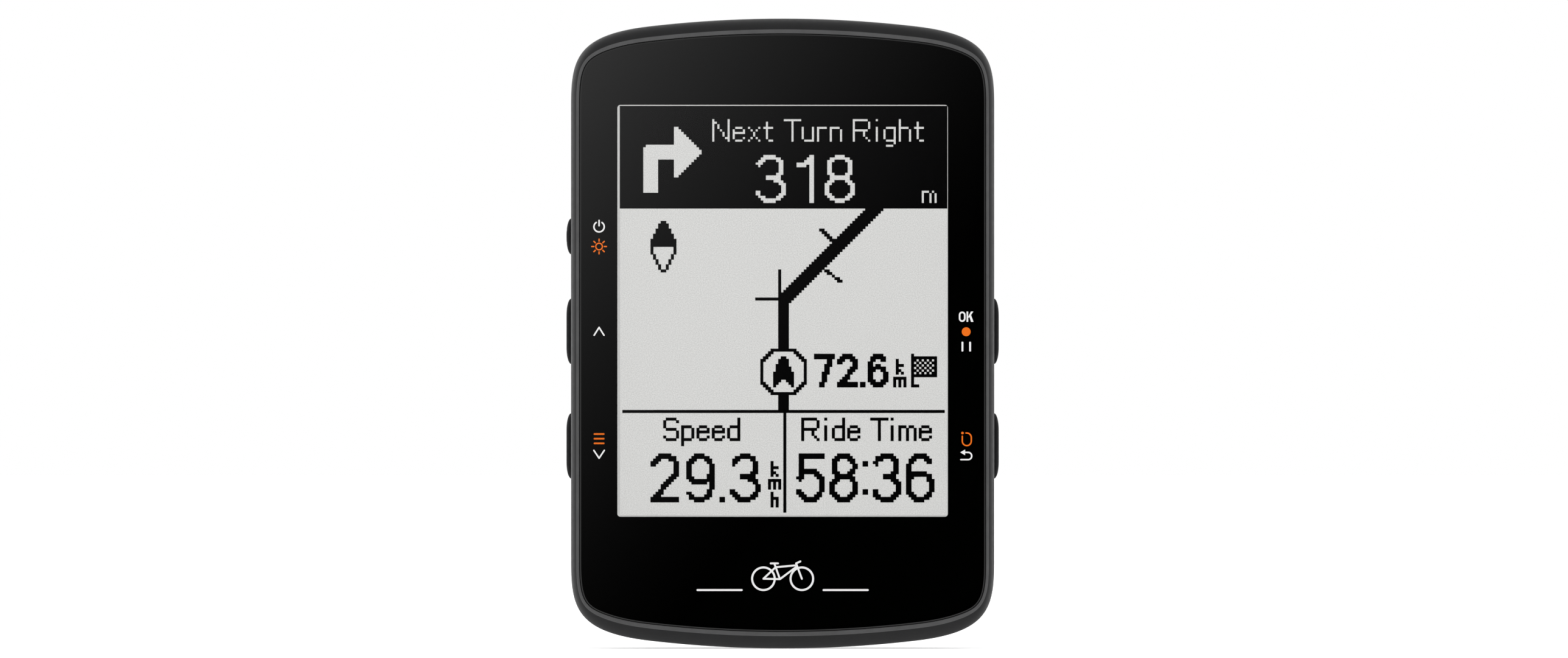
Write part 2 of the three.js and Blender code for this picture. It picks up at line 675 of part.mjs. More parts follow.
/** Charging socket: a drawn shell with a hollow mouth and a tongue along its middle. */
function chargingSocket() {
  const { width, height, z, front, depth } = SOCKET;
  const shell = alongMinusY(plate(obroundRing(width, height), -front - depth, -front));
  const mouthRing = obroundRing(width - 2 * SOCKET_WALL, height - 2 * SOCKET_WALL);
  const mouth = alongMinusY(plate(mouthRing, -front - depth + 1, -front + 1));
  const tongue = block(
    [-TONGUE.halfWidth, front + TONGUE.setBack, -TONGUE.halfHeight],
    [TONGUE.halfWidth, front + depth - 0.5, TONGUE.halfHeight],
  );
  const geometry = carve(carve(shell, [], [mouth]), [tongue], []);
  const mesh = piece('usb_socket', geometry, MATERIALS.tin);
  mesh.position.z = z;
  return mesh;
}

/** Rubber ring between the socket's shell and the opening in the housing. */
function socketSeal() {
  const { low, high, gap } = SOCKET_SEAL;
  const outer = obroundRing(APERTURE.width - 2 * gap, APERTURE.height - 2 * gap);
  const inner = obroundRing(SOCKET.width + 0.08, SOCKET.height + 0.08);
  const mesh = piece('usb_seal', alongMinusY(plate(outer, low, high, [inner])), MATERIALS.rubber);
  mesh.position.z = SOCKET.z;
  return mesh;
}

/** Rubber cover flush with the bottom end, with a plug on its inside and a knuckle at its rear edge. */
function socketCover() {
  const innerY = -CASE_LENGTH / 2 + COVER.thickness;
  const face = rectangleRing(
    2 * COVER.halfWidth, 2 * (COVER.top - HINGE.z), COVER.cornerRadius, 0, HINGE.z,
  );
  const upperHalf = block([-20, -50, HINGE.z], [20, 0, 20]);
  const skin = geometryOf(
    solid(rearOutside(SPLIT_Z))
      .intersect(solid(alongMinusY(plate(face, -innerY, CASE_LENGTH / 2 + 1))))
      .intersect(solid(upperHalf)),
  );
  const knuckle = rod(HINGE.knuckle, -COVER.halfWidth, COVER.halfWidth, HINGE.y, HINGE.z);
  const { narrower, lower, tip, base } = COVER_PLUG;
  const plugRing = obroundRing(APERTURE.width - narrower, APERTURE.height - lower);
  const plug = alongMinusY(plate(plugRing, tip, base)).translate(0, 0, SOCKET.z);
  const bore = rod(HINGE.bore, -COVER.halfWidth - 1, COVER.halfWidth + 1, HINGE.y, HINGE.z);
  return piece('usb_cover', carve(skin, [knuckle, plug], [bore]), MATERIALS.rubber);
}

/** Steel pin that the cover turns on. */
function coverPin() {
  const reach = COVER.halfWidth + 1.2;
  return piece('usb_cover_pin', rod(HINGE.pin, -reach, reach, HINGE.y, HINGE.z, 12), MATERIALS.steel);
}

// ---------------------------------------------------------------- battery

/** Pouch cell with rounded long edges. */
function battery() {
  const { width, low, high, bottom, top, edgeRadius } = BATTERY;
  const ring = rectangleRing(width, top - bottom, edgeRadius);
  const geometry = alongMinusY(plate(ring, -high, -low)).translate(0, 0, (bottom + top) / 2);
  return piece('battery', geometry, MATERIALS.cell);
}

/** Adhesive foam disc under the cell. */
function batteryPad() {
  const geometry = post(PAD_RADIUS - 1, 0, 0, PAD_FACE_Z, BATTERY.bottom, 24);
  return piece('battery_pad', geometry, MATERIALS.foam);
}

/** One insulated lead from the cell to the plug. */
function batteryLead(name, cellX, plugX, leadMaterial) {
  const z = 10;
  const path = new THREE.CubicBezierCurve3(
    new THREE.Vector3(cellX, BATTERY.high + 0.05, z),
    new THREE.Vector3(cellX, BATTERY.high + 3.8, z),
    new THREE.Vector3(plugX, PLUG.low[1] - 3.8, z),
    new THREE.Vector3(plugX, PLUG.low[1] - 0.05, z),
  );
  const section = new THREE.Shape(circleRing(LEAD_RADIUS, 8));
  const options = { steps: 8, bevelEnabled: false, extrudePath: path };
  return piece(name, new THREE.ExtrudeGeometry(section, options), leadMaterial);
}

/** Two-pin plug and the header that it pushes into. */
function batteryConnector() {
  const { low, high, clearance } = PLUG;
  const pocket = block(
    [low[0] - clearance, HEADER.low[1] - 1, low[2] - clearance],
    high.map((value) => value + clearance),
  );
  return [
    piece('battery_header', carve(block(HEADER.low, HEADER.high), [], [pocket]), MATERIALS.ivory),
    piece('battery_plug', block(PLUG.low, PLUG.high), MATERIALS.chip),
  ];
}

// ---------------------------------------------------------------- buttons

/** Button: domed cap, stem through the seal, retaining flange and the nub that works the switch. */
function button(name, length) {
  const upright = (ring) => ring.map((point) => new THREE.Vector2(-point.y, point.x));
  const ring = (width, height) => upright(obroundRing(width, height));
  const stem = ring(length - STEM.shorter, STEM.height);
  const flange = ring(length + FLANGE.wider, BUTTON_HEIGHT + FLANGE.wider);
  const nub = ring(NUB.width, NUB.width);
  const levels = [
    { z: NUB.tip, ring: nub },
    { z: FLANGE.inner, ring: nub },
    { z: FLANGE.inner, ring: flange },
    { z: FLANGE.outer, ring: flange },
    { z: FLANGE.outer, ring: stem },
    { z: CAP_BASE, ring: stem },
    { z: CAP_BASE, ring: ring(length, BUTTON_HEIGHT) },
  ];
  const { endRun, edgeRun } = BUTTON_DOME;
  const steps = 4;
  for (let i = 0; i <= steps; i++) {
    const angle = Math.PI / 2 * i / steps;
    const run = 1 - Math.cos(angle);
    levels.push({
      z: BUTTON_PROUD * Math.sin(angle),
      ring: ring(length - 2 * endRun * run, BUTTON_HEIGHT - 2 * edgeRun * run),
    });
  }
  return piece(`${name}_button`, alongX(loft(levels)), MATERIALS.rubber);
}

/** Rubber seal round the button's stem, inside the hole in the wall. */
function buttonSeal(name, length) {
  const upright = (ring) => ring.map((point) => new THREE.Vector2(-point.y, point.x));
  const wider = 2 * BUTTON_CLEARANCE - 0.04;
  const outer = upright(obroundRing(length + wider, BUTTON_HEIGHT + wider));
  const inner = upright(obroundRing(length - STEM.shorter + 0.1, STEM.height + 0.1));
  const geometry = alongX(plate(outer, STEM_SEAL.inner, STEM_SEAL.outer, [inner]));
  return piece(`${name}_button_seal`, geometry, MATERIALS.seal);
}

/** Side-push switch soldered to the board, and its plunger. */
function buttonSwitch(name) {
  const boardZ = BOARD_TOP_Z - BUTTON_Z;
  const body = block(
    [SWITCH.inner, -SWITCH.halfLength, boardZ],
    [SWITCH.outer, SWITCH.halfLength, boardZ + SWITCH.height],
  );
  const bore = rod(PLUNGER.bore, PLUNGER.inner - 0.8, PLUNGER.outer, 0, 0, 12);
  const plunger = rod(PLUNGER.radius, PLUNGER.inner, PLUNGER.outer, 0, 0, 12);
  return [
    piece(`${name}_switch`, carve(body, [], [bore]), MATERIALS.chip),
    piece(`${name}_plunger`, plunger, MATERIALS.ivory),
  ];
}

/** All that belongs to one button, with the local X axis pointing out of the case. */
function buttonSet({ name, side, y, length }) {
  const set = new THREE.Group();
  set.add(button(name, length), buttonSeal(name, length), ...buttonSwitch(name));
  set.position.set(side * CASE_WIDTH / 2, y, BUTTON_Z);
  if (side < 0) set.rotation.z = Math.PI;
  return set;
}

// ---------------------------------------------------------------- quarter-turn lug

/** Quarter-turn lug: flange let into the back, round neck and two ears. */
function quarterTurnInsert() {
  const sides = 48;
  const flange = post(LUG.flange, 0, 0, BACK_Z, LUG_FLANGE_TOP_Z, sides);
  const neck = post(LUG.neck, 0, 0, 0, BACK_Z + 0.3, sides);
  const disc = solid(post(LUG.ears, 0, 0, 0, LUG.earThickness, sides));
  const band = block([-20, -LUG.earWidth / 2, -1], [20, LUG.earWidth / 2, LUG.earThickness + 1]);
  const ears = geometryOf(disc.intersect(solid(band)));
  const cuts = [];
  for (const sign of [1, -1]) {
    cuts.push(post(LUG_SCREW.recess, 0, sign * LUG_SCREW_Y, -1, LUG_SCREW_SEAT_Z));
    cuts.push(post(LUG_SCREW.clearance, 0, sign * LUG_SCREW_Y, 0, LUG_FLANGE_TOP_Z + 1, 12));
  }
  return piece('quarter_turn_insert', carve(flange, [neck, ears], cuts), MATERIALS.lug);
}

/** The screws that hold the lug to the rear housing. */
function lugScrews() {
  return [1, -1].map((sign, i) => (
    screw(`insert_screw_${i + 1}`, 0, sign * LUG_SCREW_Y, LUG_SCREW_SEAT_Z, LUG_SCREW)
  ));
}

// ---------------------------------------------------------------- assembly

const device = new THREE.Group();
device.add(
  frontHousing(),
  rearHousing(),
  housingSeal(),
  ...caseScrews(),
  frontLens(),
  lensGasket(),
  ...display(),
  displayFrame(),
  displayFlex(),
  displayConnector(),
  mainBoard(),
  ...boardScrews(),
  ...shieldedParts(),
  gpsAntenna(),
  buzzer(),
  ...altitudeParts(),
  chargingSocket(),
  socketSeal(),
  socketCover(),
  coverPin(),
  battery(),
  batteryPad(),
  batteryLead('battery_lead_red', -14.5, -16.5, MATERIALS.redLead),
  batteryLead('battery_lead_black', -16.5, -18.5, MATERIALS.blackLead),
  ...batteryConnector(),
  ...BUTTONS.map(buttonSet),
  quarterTurnInsert(),
  ...lugScrews(),
);

// Stands the device up, screen towards -Y.
device.rotation.x = Math.PI / 2;

const cyclingComputer = new THREE.Group();
cyclingComputer.add(device);

export default cyclingComputer;
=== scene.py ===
"""Looks of a handlebar cycling computer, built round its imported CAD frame.

Shapes are drawn in bench millimetres, as in the CAD source: the device lies on its back, +X to the
right, +Y towards its top end, +Z out of the screen, and z = 0 on the lug's end face. stand_up()
turns them into the frame's metres, where the screen faces -Y and the top end points to +Z.
"""
import math

import bmesh
import bpy
from mathutils import Matrix, Vector


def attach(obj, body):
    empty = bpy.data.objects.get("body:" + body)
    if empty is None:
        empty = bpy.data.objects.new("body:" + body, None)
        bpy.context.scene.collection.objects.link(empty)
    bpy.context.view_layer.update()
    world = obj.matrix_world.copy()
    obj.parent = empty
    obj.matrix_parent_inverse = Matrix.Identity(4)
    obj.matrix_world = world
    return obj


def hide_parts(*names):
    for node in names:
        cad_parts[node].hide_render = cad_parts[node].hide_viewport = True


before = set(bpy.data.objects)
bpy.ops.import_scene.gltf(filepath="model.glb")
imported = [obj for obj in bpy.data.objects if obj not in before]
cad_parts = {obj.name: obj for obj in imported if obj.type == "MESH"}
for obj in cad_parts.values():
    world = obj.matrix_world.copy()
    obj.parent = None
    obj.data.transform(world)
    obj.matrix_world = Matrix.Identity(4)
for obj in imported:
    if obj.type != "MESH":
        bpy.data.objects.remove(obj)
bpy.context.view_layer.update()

# ---------------------------------------------------------------- sizes shared with the CAD source

CASE_WIDTH = 55.1
CASE_LENGTH = 82.0
END_ARC_RADIUS = 149.8
END_ARC_HALF_WIDTH = 17.4
SIDE_HALF_LENGTH = 29.7
CORNER_PULL_END = 9.5
CORNER_PULL_SIDE = 6.0

BACK_Z = 4.4
FLOOR_Z = 6.0
SPLIT_Z = 16.2
FRONT_Z = 19.4
BACK_ROUNDING = 3.6
FLANK_DEPTH = 2.2

# Insets from the outline, at the sides, the top end and the bottom end.
FLANK = (0.71, 1.43, 1.63)
LENS_POCKET = (1.07, 1.94, 2.18)
LENS_EDGE = (1.2, 2.07, 2.29)
WALL = (2.0, 2.6, 2.6)

LENS_FRONT_Z = 19.3
LENS_BACK_Z = 18.1
LENS_CHAMFER = 0.13
LEDGE_TOP_Z = 17.8
LEDGE_BOTTOM_Z = 16.6
LEDGE_OPENING = (3.7, 6.4, 8.2)
DISPLAY_TOP_Z = 18.0

BUTTON_Z = 13.0
BUTTON_HEIGHT = 3.4
BUTTON_PROUD = 0.62
LONG_BUTTON = 8.53
BUTTONS = (
    ("power", -1, 12.66, 4.68),
    ("up", -1, 0.29, LONG_BUTTON),
    ("down", -1, -14.65, LONG_BUTTON),
    ("ok", 1, 0.29, LONG_BUTTON),
    ("back", 1, -14.65, LONG_BUTTON),
)

BOSSES = ((-20.8, 34.1), (20.8, 34.1), (-20.8, -34.1), (20.8, -34.1))
SCREW_SEAT_Z = 5.9
LUG_SCREW_Y = 8.0
LUG_SCREW_SEAT_Z = 1.3
VENT = (16.5, 33.0)

SOCKET_Z = 9.5
HINGE_Y = -40.1
HINGE_Z = 6.95

# The display's matrix of dots, and the window in the print that shows it.
COLUMNS = 128
ROWS = 160
DOT = 0.3325
# A dark dot and its shadow on the reflector reach this far past the dot's edge, in dots.
SHADE = 0.1
MATRIX_LEFT = 0.12 - COLUMNS * DOT / 2
MATRIX_TOP = 2.99 + ROWS * DOT / 2
WINDOW = (43.0, 53.58, 0.0, 2.96)

# ---------------------------------------------------------------- rings


def quarter_outline():
    """The case outline from the top centre to the middle of the right side: points with normals."""
    end_angle = math.asin(END_ARC_HALF_WIDTH / END_ARC_RADIUS)
    centre_y = CASE_LENGTH / 2 - END_ARC_RADIUS
    samples = []
    for i in range(10):
        normal = Vector((math.sin(end_angle * i / 10), math.cos(end_angle * i / 10)))
        samples.append((normal * END_ARC_RADIUS + Vector((0, centre_y)), normal))
    start = Vector((END_ARC_HALF_WIDTH, centre_y + END_ARC_RADIUS * math.cos(end_angle)))
    along = Vector((math.cos(end_angle), -math.sin(end_angle)))
    handles = (
        start,
        start + along * CORNER_PULL_END,
        Vector((CASE_WIDTH / 2, SIDE_HALF_LENGTH + CORNER_PULL_SIDE)),
        Vector((CASE_WIDTH / 2, SIDE_HALF_LENGTH)),
    )
    steps = 30
    for i in range(steps + 1):
        t = i / steps
        u = 1 - t
        point = (
            handles[0] * u**3 + handles[1] * 3 * u * u * t + handles[2] * 3 * u * t * t + handles[3] * t**3
        )
        tangent = (
            (handles[1] - handles[0]) * u * u
            + (handles[2] - handles[1]) * 2 * u * t
            + (handles[3] - handles[2]) * t * t
        ).normalized()
        samples.append((point, Vector((-tangent.y, tangent.x))))
    for share in (0.75, 0.5, 0.25, 0.0):
        samples.append((Vector((CASE_WIDTH / 2, SIDE_HALF_LENGTH * share)), Vector((1, 0))))
    return samples


QUARTER = quarter_outline()


def case_ring(inset):
    """The case outline moved inwards by an inset, as a closed anticlockwise ring of points."""
    side, top, bottom = inset
    backwards = QUARTER[::-1]
    ring = []
    quarters = ((1, 1, QUARTER), (1, -1, backwards), (-1, -1, QUARTER), (-1, 1, backwards))
    for sign_x, sign_y, samples in quarters:
        end = top if sign_y > 0 else bottom
        for point, normal in samples[:-1]:
            move = side * normal.x**2 + end * normal.y**2
            ring.append((sign_x * (point.x - move * normal.x), sign_y * (point.y - move * normal.y)))
    return ring[::-1]


def scaled(inset, factor):
    return tuple(value * factor for value in inset)


def deeper(inset, distance):
    return tuple(value + distance for value in inset)


def circle(radius, points=48, x=0.0, y=0.0, lobes=0, lobe_depth=0.0):
    """A ring round a circle, with lobes if they are asked for."""
    ring = []
    for i in range(points):
        angle = 2 * math.pi * i / points
        reach = radius + lobe_depth * math.cos(lobes * angle)
        ring.append((x + reach * math.cos(angle), y + reach * math.sin(angle)))
    return ring


def obround(width, height, per_end=21, x=0.0, y=0.0):
    """A ring round a shape with half-round ends, whichever way it is longer."""
    radius = min(width, height) / 2
    reach_x = width / 2 - radius
    reach_y = height / 2 - radius
    ring = []
    for i in range(2 * per_end):
        half = i // per_end
        turn = math.pi * ((i % per_end) / (per_end - 1) - 0.5 + half)
        if reach_y > reach_x:
            turn += math.pi / 2
        ring.append((
            x + (reach_x if math.cos(turn) > 0 else -reach_x) * (reach_x > 0) + radius * math.cos(turn),
            y + (reach_y if math.sin(turn) > 0 else -reach_y) * (reach_y > 0) + radius * math.sin(turn),
        ))
    return ring


def rounded_box(width, height, radius, x=0.0, y=0.0):
    """A ring round a rectangle with rounded corners."""
    steps = 8
    ring = []
    for quarter, (sign_x, sign_y) in enumerate(((1, 1), (-1, 1), (-1, -1), (1, -1))):
        for i in range(steps + 1):
            angle = math.pi / 2 * (quarter + i / steps)
            ring.append((
                x + sign_x * (width / 2 - radius) + radius * math.cos(angle),
                y + sign_y * (height / 2 - radius) + radius * math.sin(angle),
            ))
    return ring


def arc(cx, cy, rx, ry, start, end, steps=18):
    """Points along part of an ellipse, from one angle to another in degrees."""
    angles = [math.radians(start + (end - start) * i / steps) for i in range(steps + 1)]
    return [(cx + rx * math.cos(a), cy + ry * math.sin(a)) for a in angles]


# ---------------------------------------------------------------- meshes


def mesh_of(vertices, faces, bands=None):
    """A mesh with its normals outwards, in bench millimetres."""
    mesh = bpy.data.meshes.new("shape")
    mesh.from_pydata(vertices, [], faces)
    if bands:
        for polygon, band in zip(mesh.polygons, bands):
            polygon.material_index = band
    work = bmesh.new()
    work.from_mesh(mesh)
    bmesh.ops.recalc_face_normals(work, faces=work.faces)
    work.to_mesh(mesh)
    work.free()
    return mesh


def loft(levels, closed=False, bands=None):
    """A solid through (z, ring) levels: capped at both ends, or closed from the last to the first."""
    count = len(levels[0][1])
    vertices = [(x, y, z) for z, ring in levels for x, y in ring]
    faces, indices = [], []
    for level in range(len(levels) if closed else len(levels) - 1):
        lower = level * count
        upper = (level + 1) % len(levels) * count
        for i in range(count):
            j = (i + 1) % count
            faces.append((lower + i, lower + j, upper + j, upper + i))
            indices.append(bands[level] if bands else 0)
    if not closed:
        faces.append(tuple(range(count))[::-1])
        faces.append(tuple(range((len(levels) - 1) * count, len(levels) * count)))
        indices += [0, 0]
    return mesh_of(vertices, faces, indices)


def prism(ring, low, high):
    return loft([(low, ring), (high, ring)])


def tube(outer, inner, low, high):
    """A wall between two rings that have the same number of points."""
    return loft([(low, inner), (low, outer), (high, outer), (high, inner)], closed=True)


def block(low, high):
    ring = [(low[0], low[1]), (high[0], low[1]), (high[0], high[1]), (low[0], high[1])]
    return prism(ring, low[2], high[2])


def placed(mesh, matrix):
    mesh.transform(matrix)
    if matrix.determinant() < 0:
        mesh.flip_normals()
    return mesh


def moved(mesh, y=0.0, z=0.0):
    return placed(mesh, Matrix.Translation((0, y, z)))


def along_minus_y(mesh):
    """Turns a shape drawn along Z so that its Z runs along -Y and its Y along Z."""
    return placed(mesh, Matrix.Rotation(math.pi / 2, 4, "X"))


def along_x(mesh):
    """Turns a shape drawn along Z so that its Z runs along X, its X along Y and its Y along Z."""
    turn = Matrix(((0, 0, 1, 0), (1, 0, 0, 0), (0, 1, 0, 0), (0, 0, 0, 1)))
    return placed(mesh, turn)


def at_socket(mesh):
    """A shape drawn along Z, laid along -Y at the height of the charging socket."""
    return moved(along_minus_y(mesh), z=SOCKET_Z)


def hinge_rod(radius, points, half_length):
    """A round rod on the hinge line of the charging cover."""
    return moved(along_x(prism(circle(radius, points), -half_length, half_length)), HINGE_Y, HINGE_Z)


def on_side(mesh, side, y, out=0.0):
    """A shape drawn along Z, turned to point out of the left side (-1) or the right side (1)."""
    place = Matrix.Translation((side * out, y, BUTTON_Z)) @ Matrix.Diagonal((side, 1, 1, 1))
    return placed(along_x(mesh), place)


def oblongs(rows):
    """Levels of round-ended rings, from rows of z, width and height."""
    return [(z, obround(width, height)) for z, width, height in rows]


def joined(*meshes):
    """Separate shapes as one mesh."""
    work = bmesh.new()
    for mesh in meshes:
        work.from_mesh(mesh)
    result = bpy.data.meshes.new("shape")
    work.to_mesh(result)
    work.free()
    return result


def carve(base, joins=(), cuts=(), common=()):
    """One solid with others joined to it, then others cut from it, then only what it shares."""
    collection = bpy.context.scene.collection
    host = bpy.data.objects.new("carving", base)
    collection.objects.link(host)
    tools = []
    for operation, meshes in (("UNION", joins), ("DIFFERENCE", cuts), ("INTERSECT", common)):
        for mesh in meshes:
            tool = bpy.data.objects.new("tool", mesh)
            collection.objects.link(tool)
            tools.append(tool)
            modifier = host.modifiers.new("carve", "BOOLEAN")
            modifier.operation = operation
            modifier.solver = "MANIFOLD"
            modifier.object = tool
    view = bpy.context.evaluated_depsgraph_get()
    result = bpy.data.meshes.new_from_object(host.evaluated_get(view))
    for item in (host, *tools):
        bpy.data.objects.remove(item)
    return result


def stand_up(mesh):
    """From bench millimetres to the frame's metres."""
    return placed(mesh, Matrix.Scale(0.001, 4) @ Matrix.Rotation(math.pi / 2, 4, "X"))


def add_piece(name, mesh, materials, body="case", stands_for=(), sharp=32):
    """A finished piece on a body, smooth except along its edges."""
    stand_up(mesh)
    mesh.name = name
    mesh.shade_smooth()
    mesh.set_sharp_from_angle(angle=math.radians(sharp))
    bands = [face.material_index for face in mesh.polygons]
    mesh.materials.clear()
    for item in materials:
        mesh.materials.append(item)
    mesh.polygons.foreach_set("material_index", bands)
    piece = bpy.data.objects.new(name, mesh)
    bpy.context.scene.collection.objects.link(piece)
    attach(piece, body)
    if stands_for:
        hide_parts(*stands_for)
    return piece


# ---------------------------------------------------------------- materials

# Noise seldom leaves this range, so colours and numbers are spread over it.
NOISE_RANGE = (0.3, 0.7)
NOISE_ROUGHNESS = 0.55
POLISHED = (0.0, 0.012)
MATT = (0.75, 0.9)


def new_material(name):
    made = bpy.data.materials.new(name)
    made.use_nodes = True
    nodes = made.node_tree.nodes
    return made, made.node_tree, nodes["Principled BSDF"], nodes["Material Output"]


def feed(tree, target, inputs):
    """Set a node's inputs to plain values, or link them to other nodes' outputs."""
    for key, value in inputs.items():
        if isinstance(value, bpy.types.NodeSocket):
            tree.links.new(value, target.inputs[key])
        else:
            target.inputs[key].default_value = value


def node(tree, kind, inputs=None, **settings):
    """A new shader node with its settings made and its inputs fed."""
    made = tree.nodes.new(f"ShaderNode{kind}")
    for key, value in settings.items():
        setattr(made, key, value)
    feed(tree, made, inputs or {})
    return made


def maths(tree, operation, *values):
    """The result of an operation on numbers and other nodes' outputs."""
    return node(tree, "Math", dict(enumerate(values)), operation=operation).outputs["Value"]


def noise(tree, scale, detail, stretch=(1, 1, 1)):
    """Noise over the piece, with its scale in features per metre."""
    place = node(tree, "TexCoord").outputs["Object"]
    mapping = node(tree, "Mapping", {"Vector": place, "Scale": stretch}).outputs["Vector"]
    inputs = {"Vector": mapping, "Scale": scale, "Detail": detail, "Roughness": NOISE_ROUGHNESS}
    return node(tree, "TexNoise", inputs).outputs["Fac"]


def ramp(tree, factor, low, high):
    """A colour between two, from a factor."""
    made = node(tree, "ValToRGB", {"Fac": factor})
    for stop, position, colour in zip(made.color_ramp.elements, NOISE_RANGE, (low, high)):
        stop.position = position
        stop.color = (*colour, 1)
    return made.outputs["Color"]


def mottled(tree, factor, colour, vary):
    """A colour that strays from its mean by up to a share of it, from a factor."""
    low = [c * (1 - vary) for c in colour]
    high = [min(1.0, c * (1 + vary)) for c in colour]
    return ramp(tree, factor, low, high)


def spread(tree, factor, low, high, start=NOISE_RANGE[0], end=NOISE_RANGE[1]):
    """A number between two, from a factor."""
    inputs = {"Value": factor, "From Min": start, "From Max": end, "To Min": low, "To Max": high}
    return node(tree, "MapRange", inputs).outputs["Result"]


def bumped(tree, height, depth, more=None):
    """A surface normal disturbed by a height, with its depth in millimetres."""
    inputs = {"Strength": 1.0, "Distance": depth * 0.001, "Height": height}
    return node(tree, "Bump", {**inputs, **(more or {})}).outputs["Normal"]


def finish_material(
    name, colour, vary=0.12, vary_scale=500, rough=(0.4, 0.5), metallic=0.0, specular=0.5,
    grain=4000, grain_depth=0.006, pits=0.0, pit_scale=1800, stretch=(1, 1, 1),
):
    """A moulded, cast or rolled surface: mottled colour, uneven gloss, fine grain and optional pits."""
    made, tree, shader, _ = new_material(name)
    normal = bumped(tree, noise(tree, grain, 2, stretch), grain_depth)
    if pits:
        inputs = {"Scale": pit_scale, "Vector": node(tree, "TexCoord").outputs["Object"]}
        cells = node(tree, "TexVoronoi", inputs, feature="SMOOTH_F1")
        normal = bumped(tree, cells.outputs["Distance"], pits, {"Normal": normal})
    feed(tree, shader, {
        "Base Color": mottled(tree, noise(tree, vary_scale, 4, stretch), colour, vary),
        "Roughness": spread(tree, noise(tree, 1400, 3, stretch), *rough),
        "Metallic": metallic,
        "Specular IOR Level": specular,
        "Normal": normal,
    })
    return made


def clear_to(tree, surface, output, masks):
    """Make a surface clear to the rays that each mask picks out."""
    clear = node(tree, "BsdfTransparent").outputs["BSDF"]
    for mask in masks:
        surface = node(tree, "MixShader", {"Fac": mask, 1: surface, 2: clear}).outputs["Shader"]
    feed(tree, output, {"Surface": surface})


def cover_glass():
    """Clear glass, which casts no shadow on what lies behind it."""
    made, tree, shader, output = new_material("cover_glass")
    feed(tree, shader, {
        "Base Color": (1, 1, 1, 1),
        "Transmission Weight": 1.0,
        "IOR": 1.5,
        "Roughness": spread(tree, noise(tree, 260, 3), *POLISHED),
    })
    rays = node(tree, "LightPath").outputs
    clear_to(tree, shader.outputs["BSDF"], output, (rays["Is Diffuse Ray"], rays["Is Shadow Ray"]))
    return made


def ink(name, colour, vary=0.02, polished=False):
    """Print on the glass or the display: flat colour with a faint mottle, polished or matt.

    Polished print lets light through to what lies behind it."""
    made, tree, shader, output = new_material(name)
    uneven = noise(tree, 260, 3) if polished else noise(tree, 900, 2)
    feed(tree, shader, {
        "Base Color": mottled(tree, noise(tree, 3500, 2), colour, vary),
        "Roughness": spread(tree, uneven, *(POLISHED if polished else MATT)),
        "Specular IOR Level": 0.5 if polished else 0.0,
    })
    if polished:
        rays = node(tree, "LightPath").outputs
        clear_to(tree, shader.outputs["BSDF"], output, (rays["Is Diffuse Ray"],))
    return made


FRONT_BLACK = finish_material("front_case_black", (0.009, 0.009, 0.0095), rough=(0.40, 0.48), specular=0.24)
LIP_BLACK = finish_material("front_lip_satin", (0.060, 0.060, 0.061), rough=(0.36, 0.44), specular=0.5)
REAR_BLACK = finish_material(
    "rear_case_spark_grain", (0.012, 0.012, 0.0125), rough=(0.48, 0.6), specular=0.45,
    grain=5200, grain_depth=0.012, pits=0.03, pit_scale=2100,
)
RUBBER = finish_material(
    "button_rubber_matt", (0.0055, 0.0055, 0.006), rough=(0.68, 0.8), specular=0.12,
    grain=6500, grain_depth=0.01,
)
COVER_RUBBER = finish_material(
    "cover_rubber_matt", (0.012, 0.012, 0.0125), rough=(0.7, 0.82), specular=0.35,
    grain=6000, grain_depth=0.012,
)
SEAL_RUBBER = finish_material("seal_silicone", (0.045, 0.047, 0.052), rough=(0.6, 0.75), grain=3000)
LUG_NYLON = finish_material(
    "lug_filled_nylon", (0.014, 0.014, 0.0145), vary=0.25, rough=(0.42, 0.58), grain=3600,
    grain_depth=0.012, pits=0.012, pit_scale=1500, stretch=(0.35, 1, 1),
)
SCREW_STEEL = finish_material(
    "screw_steel_dark", (0.30, 0.31, 0.33), rough=(0.26, 0.4), metallic=1.0, grain=9000, grain_depth=0.003,
)
NICKEL = finish_material(
    "socket_nickel", (0.66, 0.65, 0.63), vary=0.05, rough=(0.18, 0.3), metallic=1.0, grain=7000,
    grain_depth=0.002, stretch=(1, 0.2, 1),
)
GOLD = finish_material(
    "contact_gold", (0.90, 0.66, 0.30), vary=0.05, rough=(0.2, 0.3), metallic=1.0, grain_depth=0.001,
)
CHIP_BLACK = finish_material("moulded_black", (0.018, 0.018, 0.02), rough=(0.5, 0.62), grain=8000)
GLASS = cover_glass()
BLACK_GLASS = ink("black_glass", (0.0002, 0.0002, 0.0002), 0.2, polished=True)
WHITE_INK = ink("print_white", (0.82, 0.82, 0.82), polished=True)
ORANGE_INK = ink("print_orange", (0.78, 0.155, 0.014), polished=True)
DARK_DOT = ink("display_dark_dot", (0.0012, 0.0012, 0.0013), 0.2)
# Darker grey for the display's border round the matrix: painted shade, for the shadow that the edge of the
# black band casts on the display.
DISPLAY_EDGE_SHADE = ink("display_edge_painted_shade", (0.52, 0.52, 0.51), 0.04)


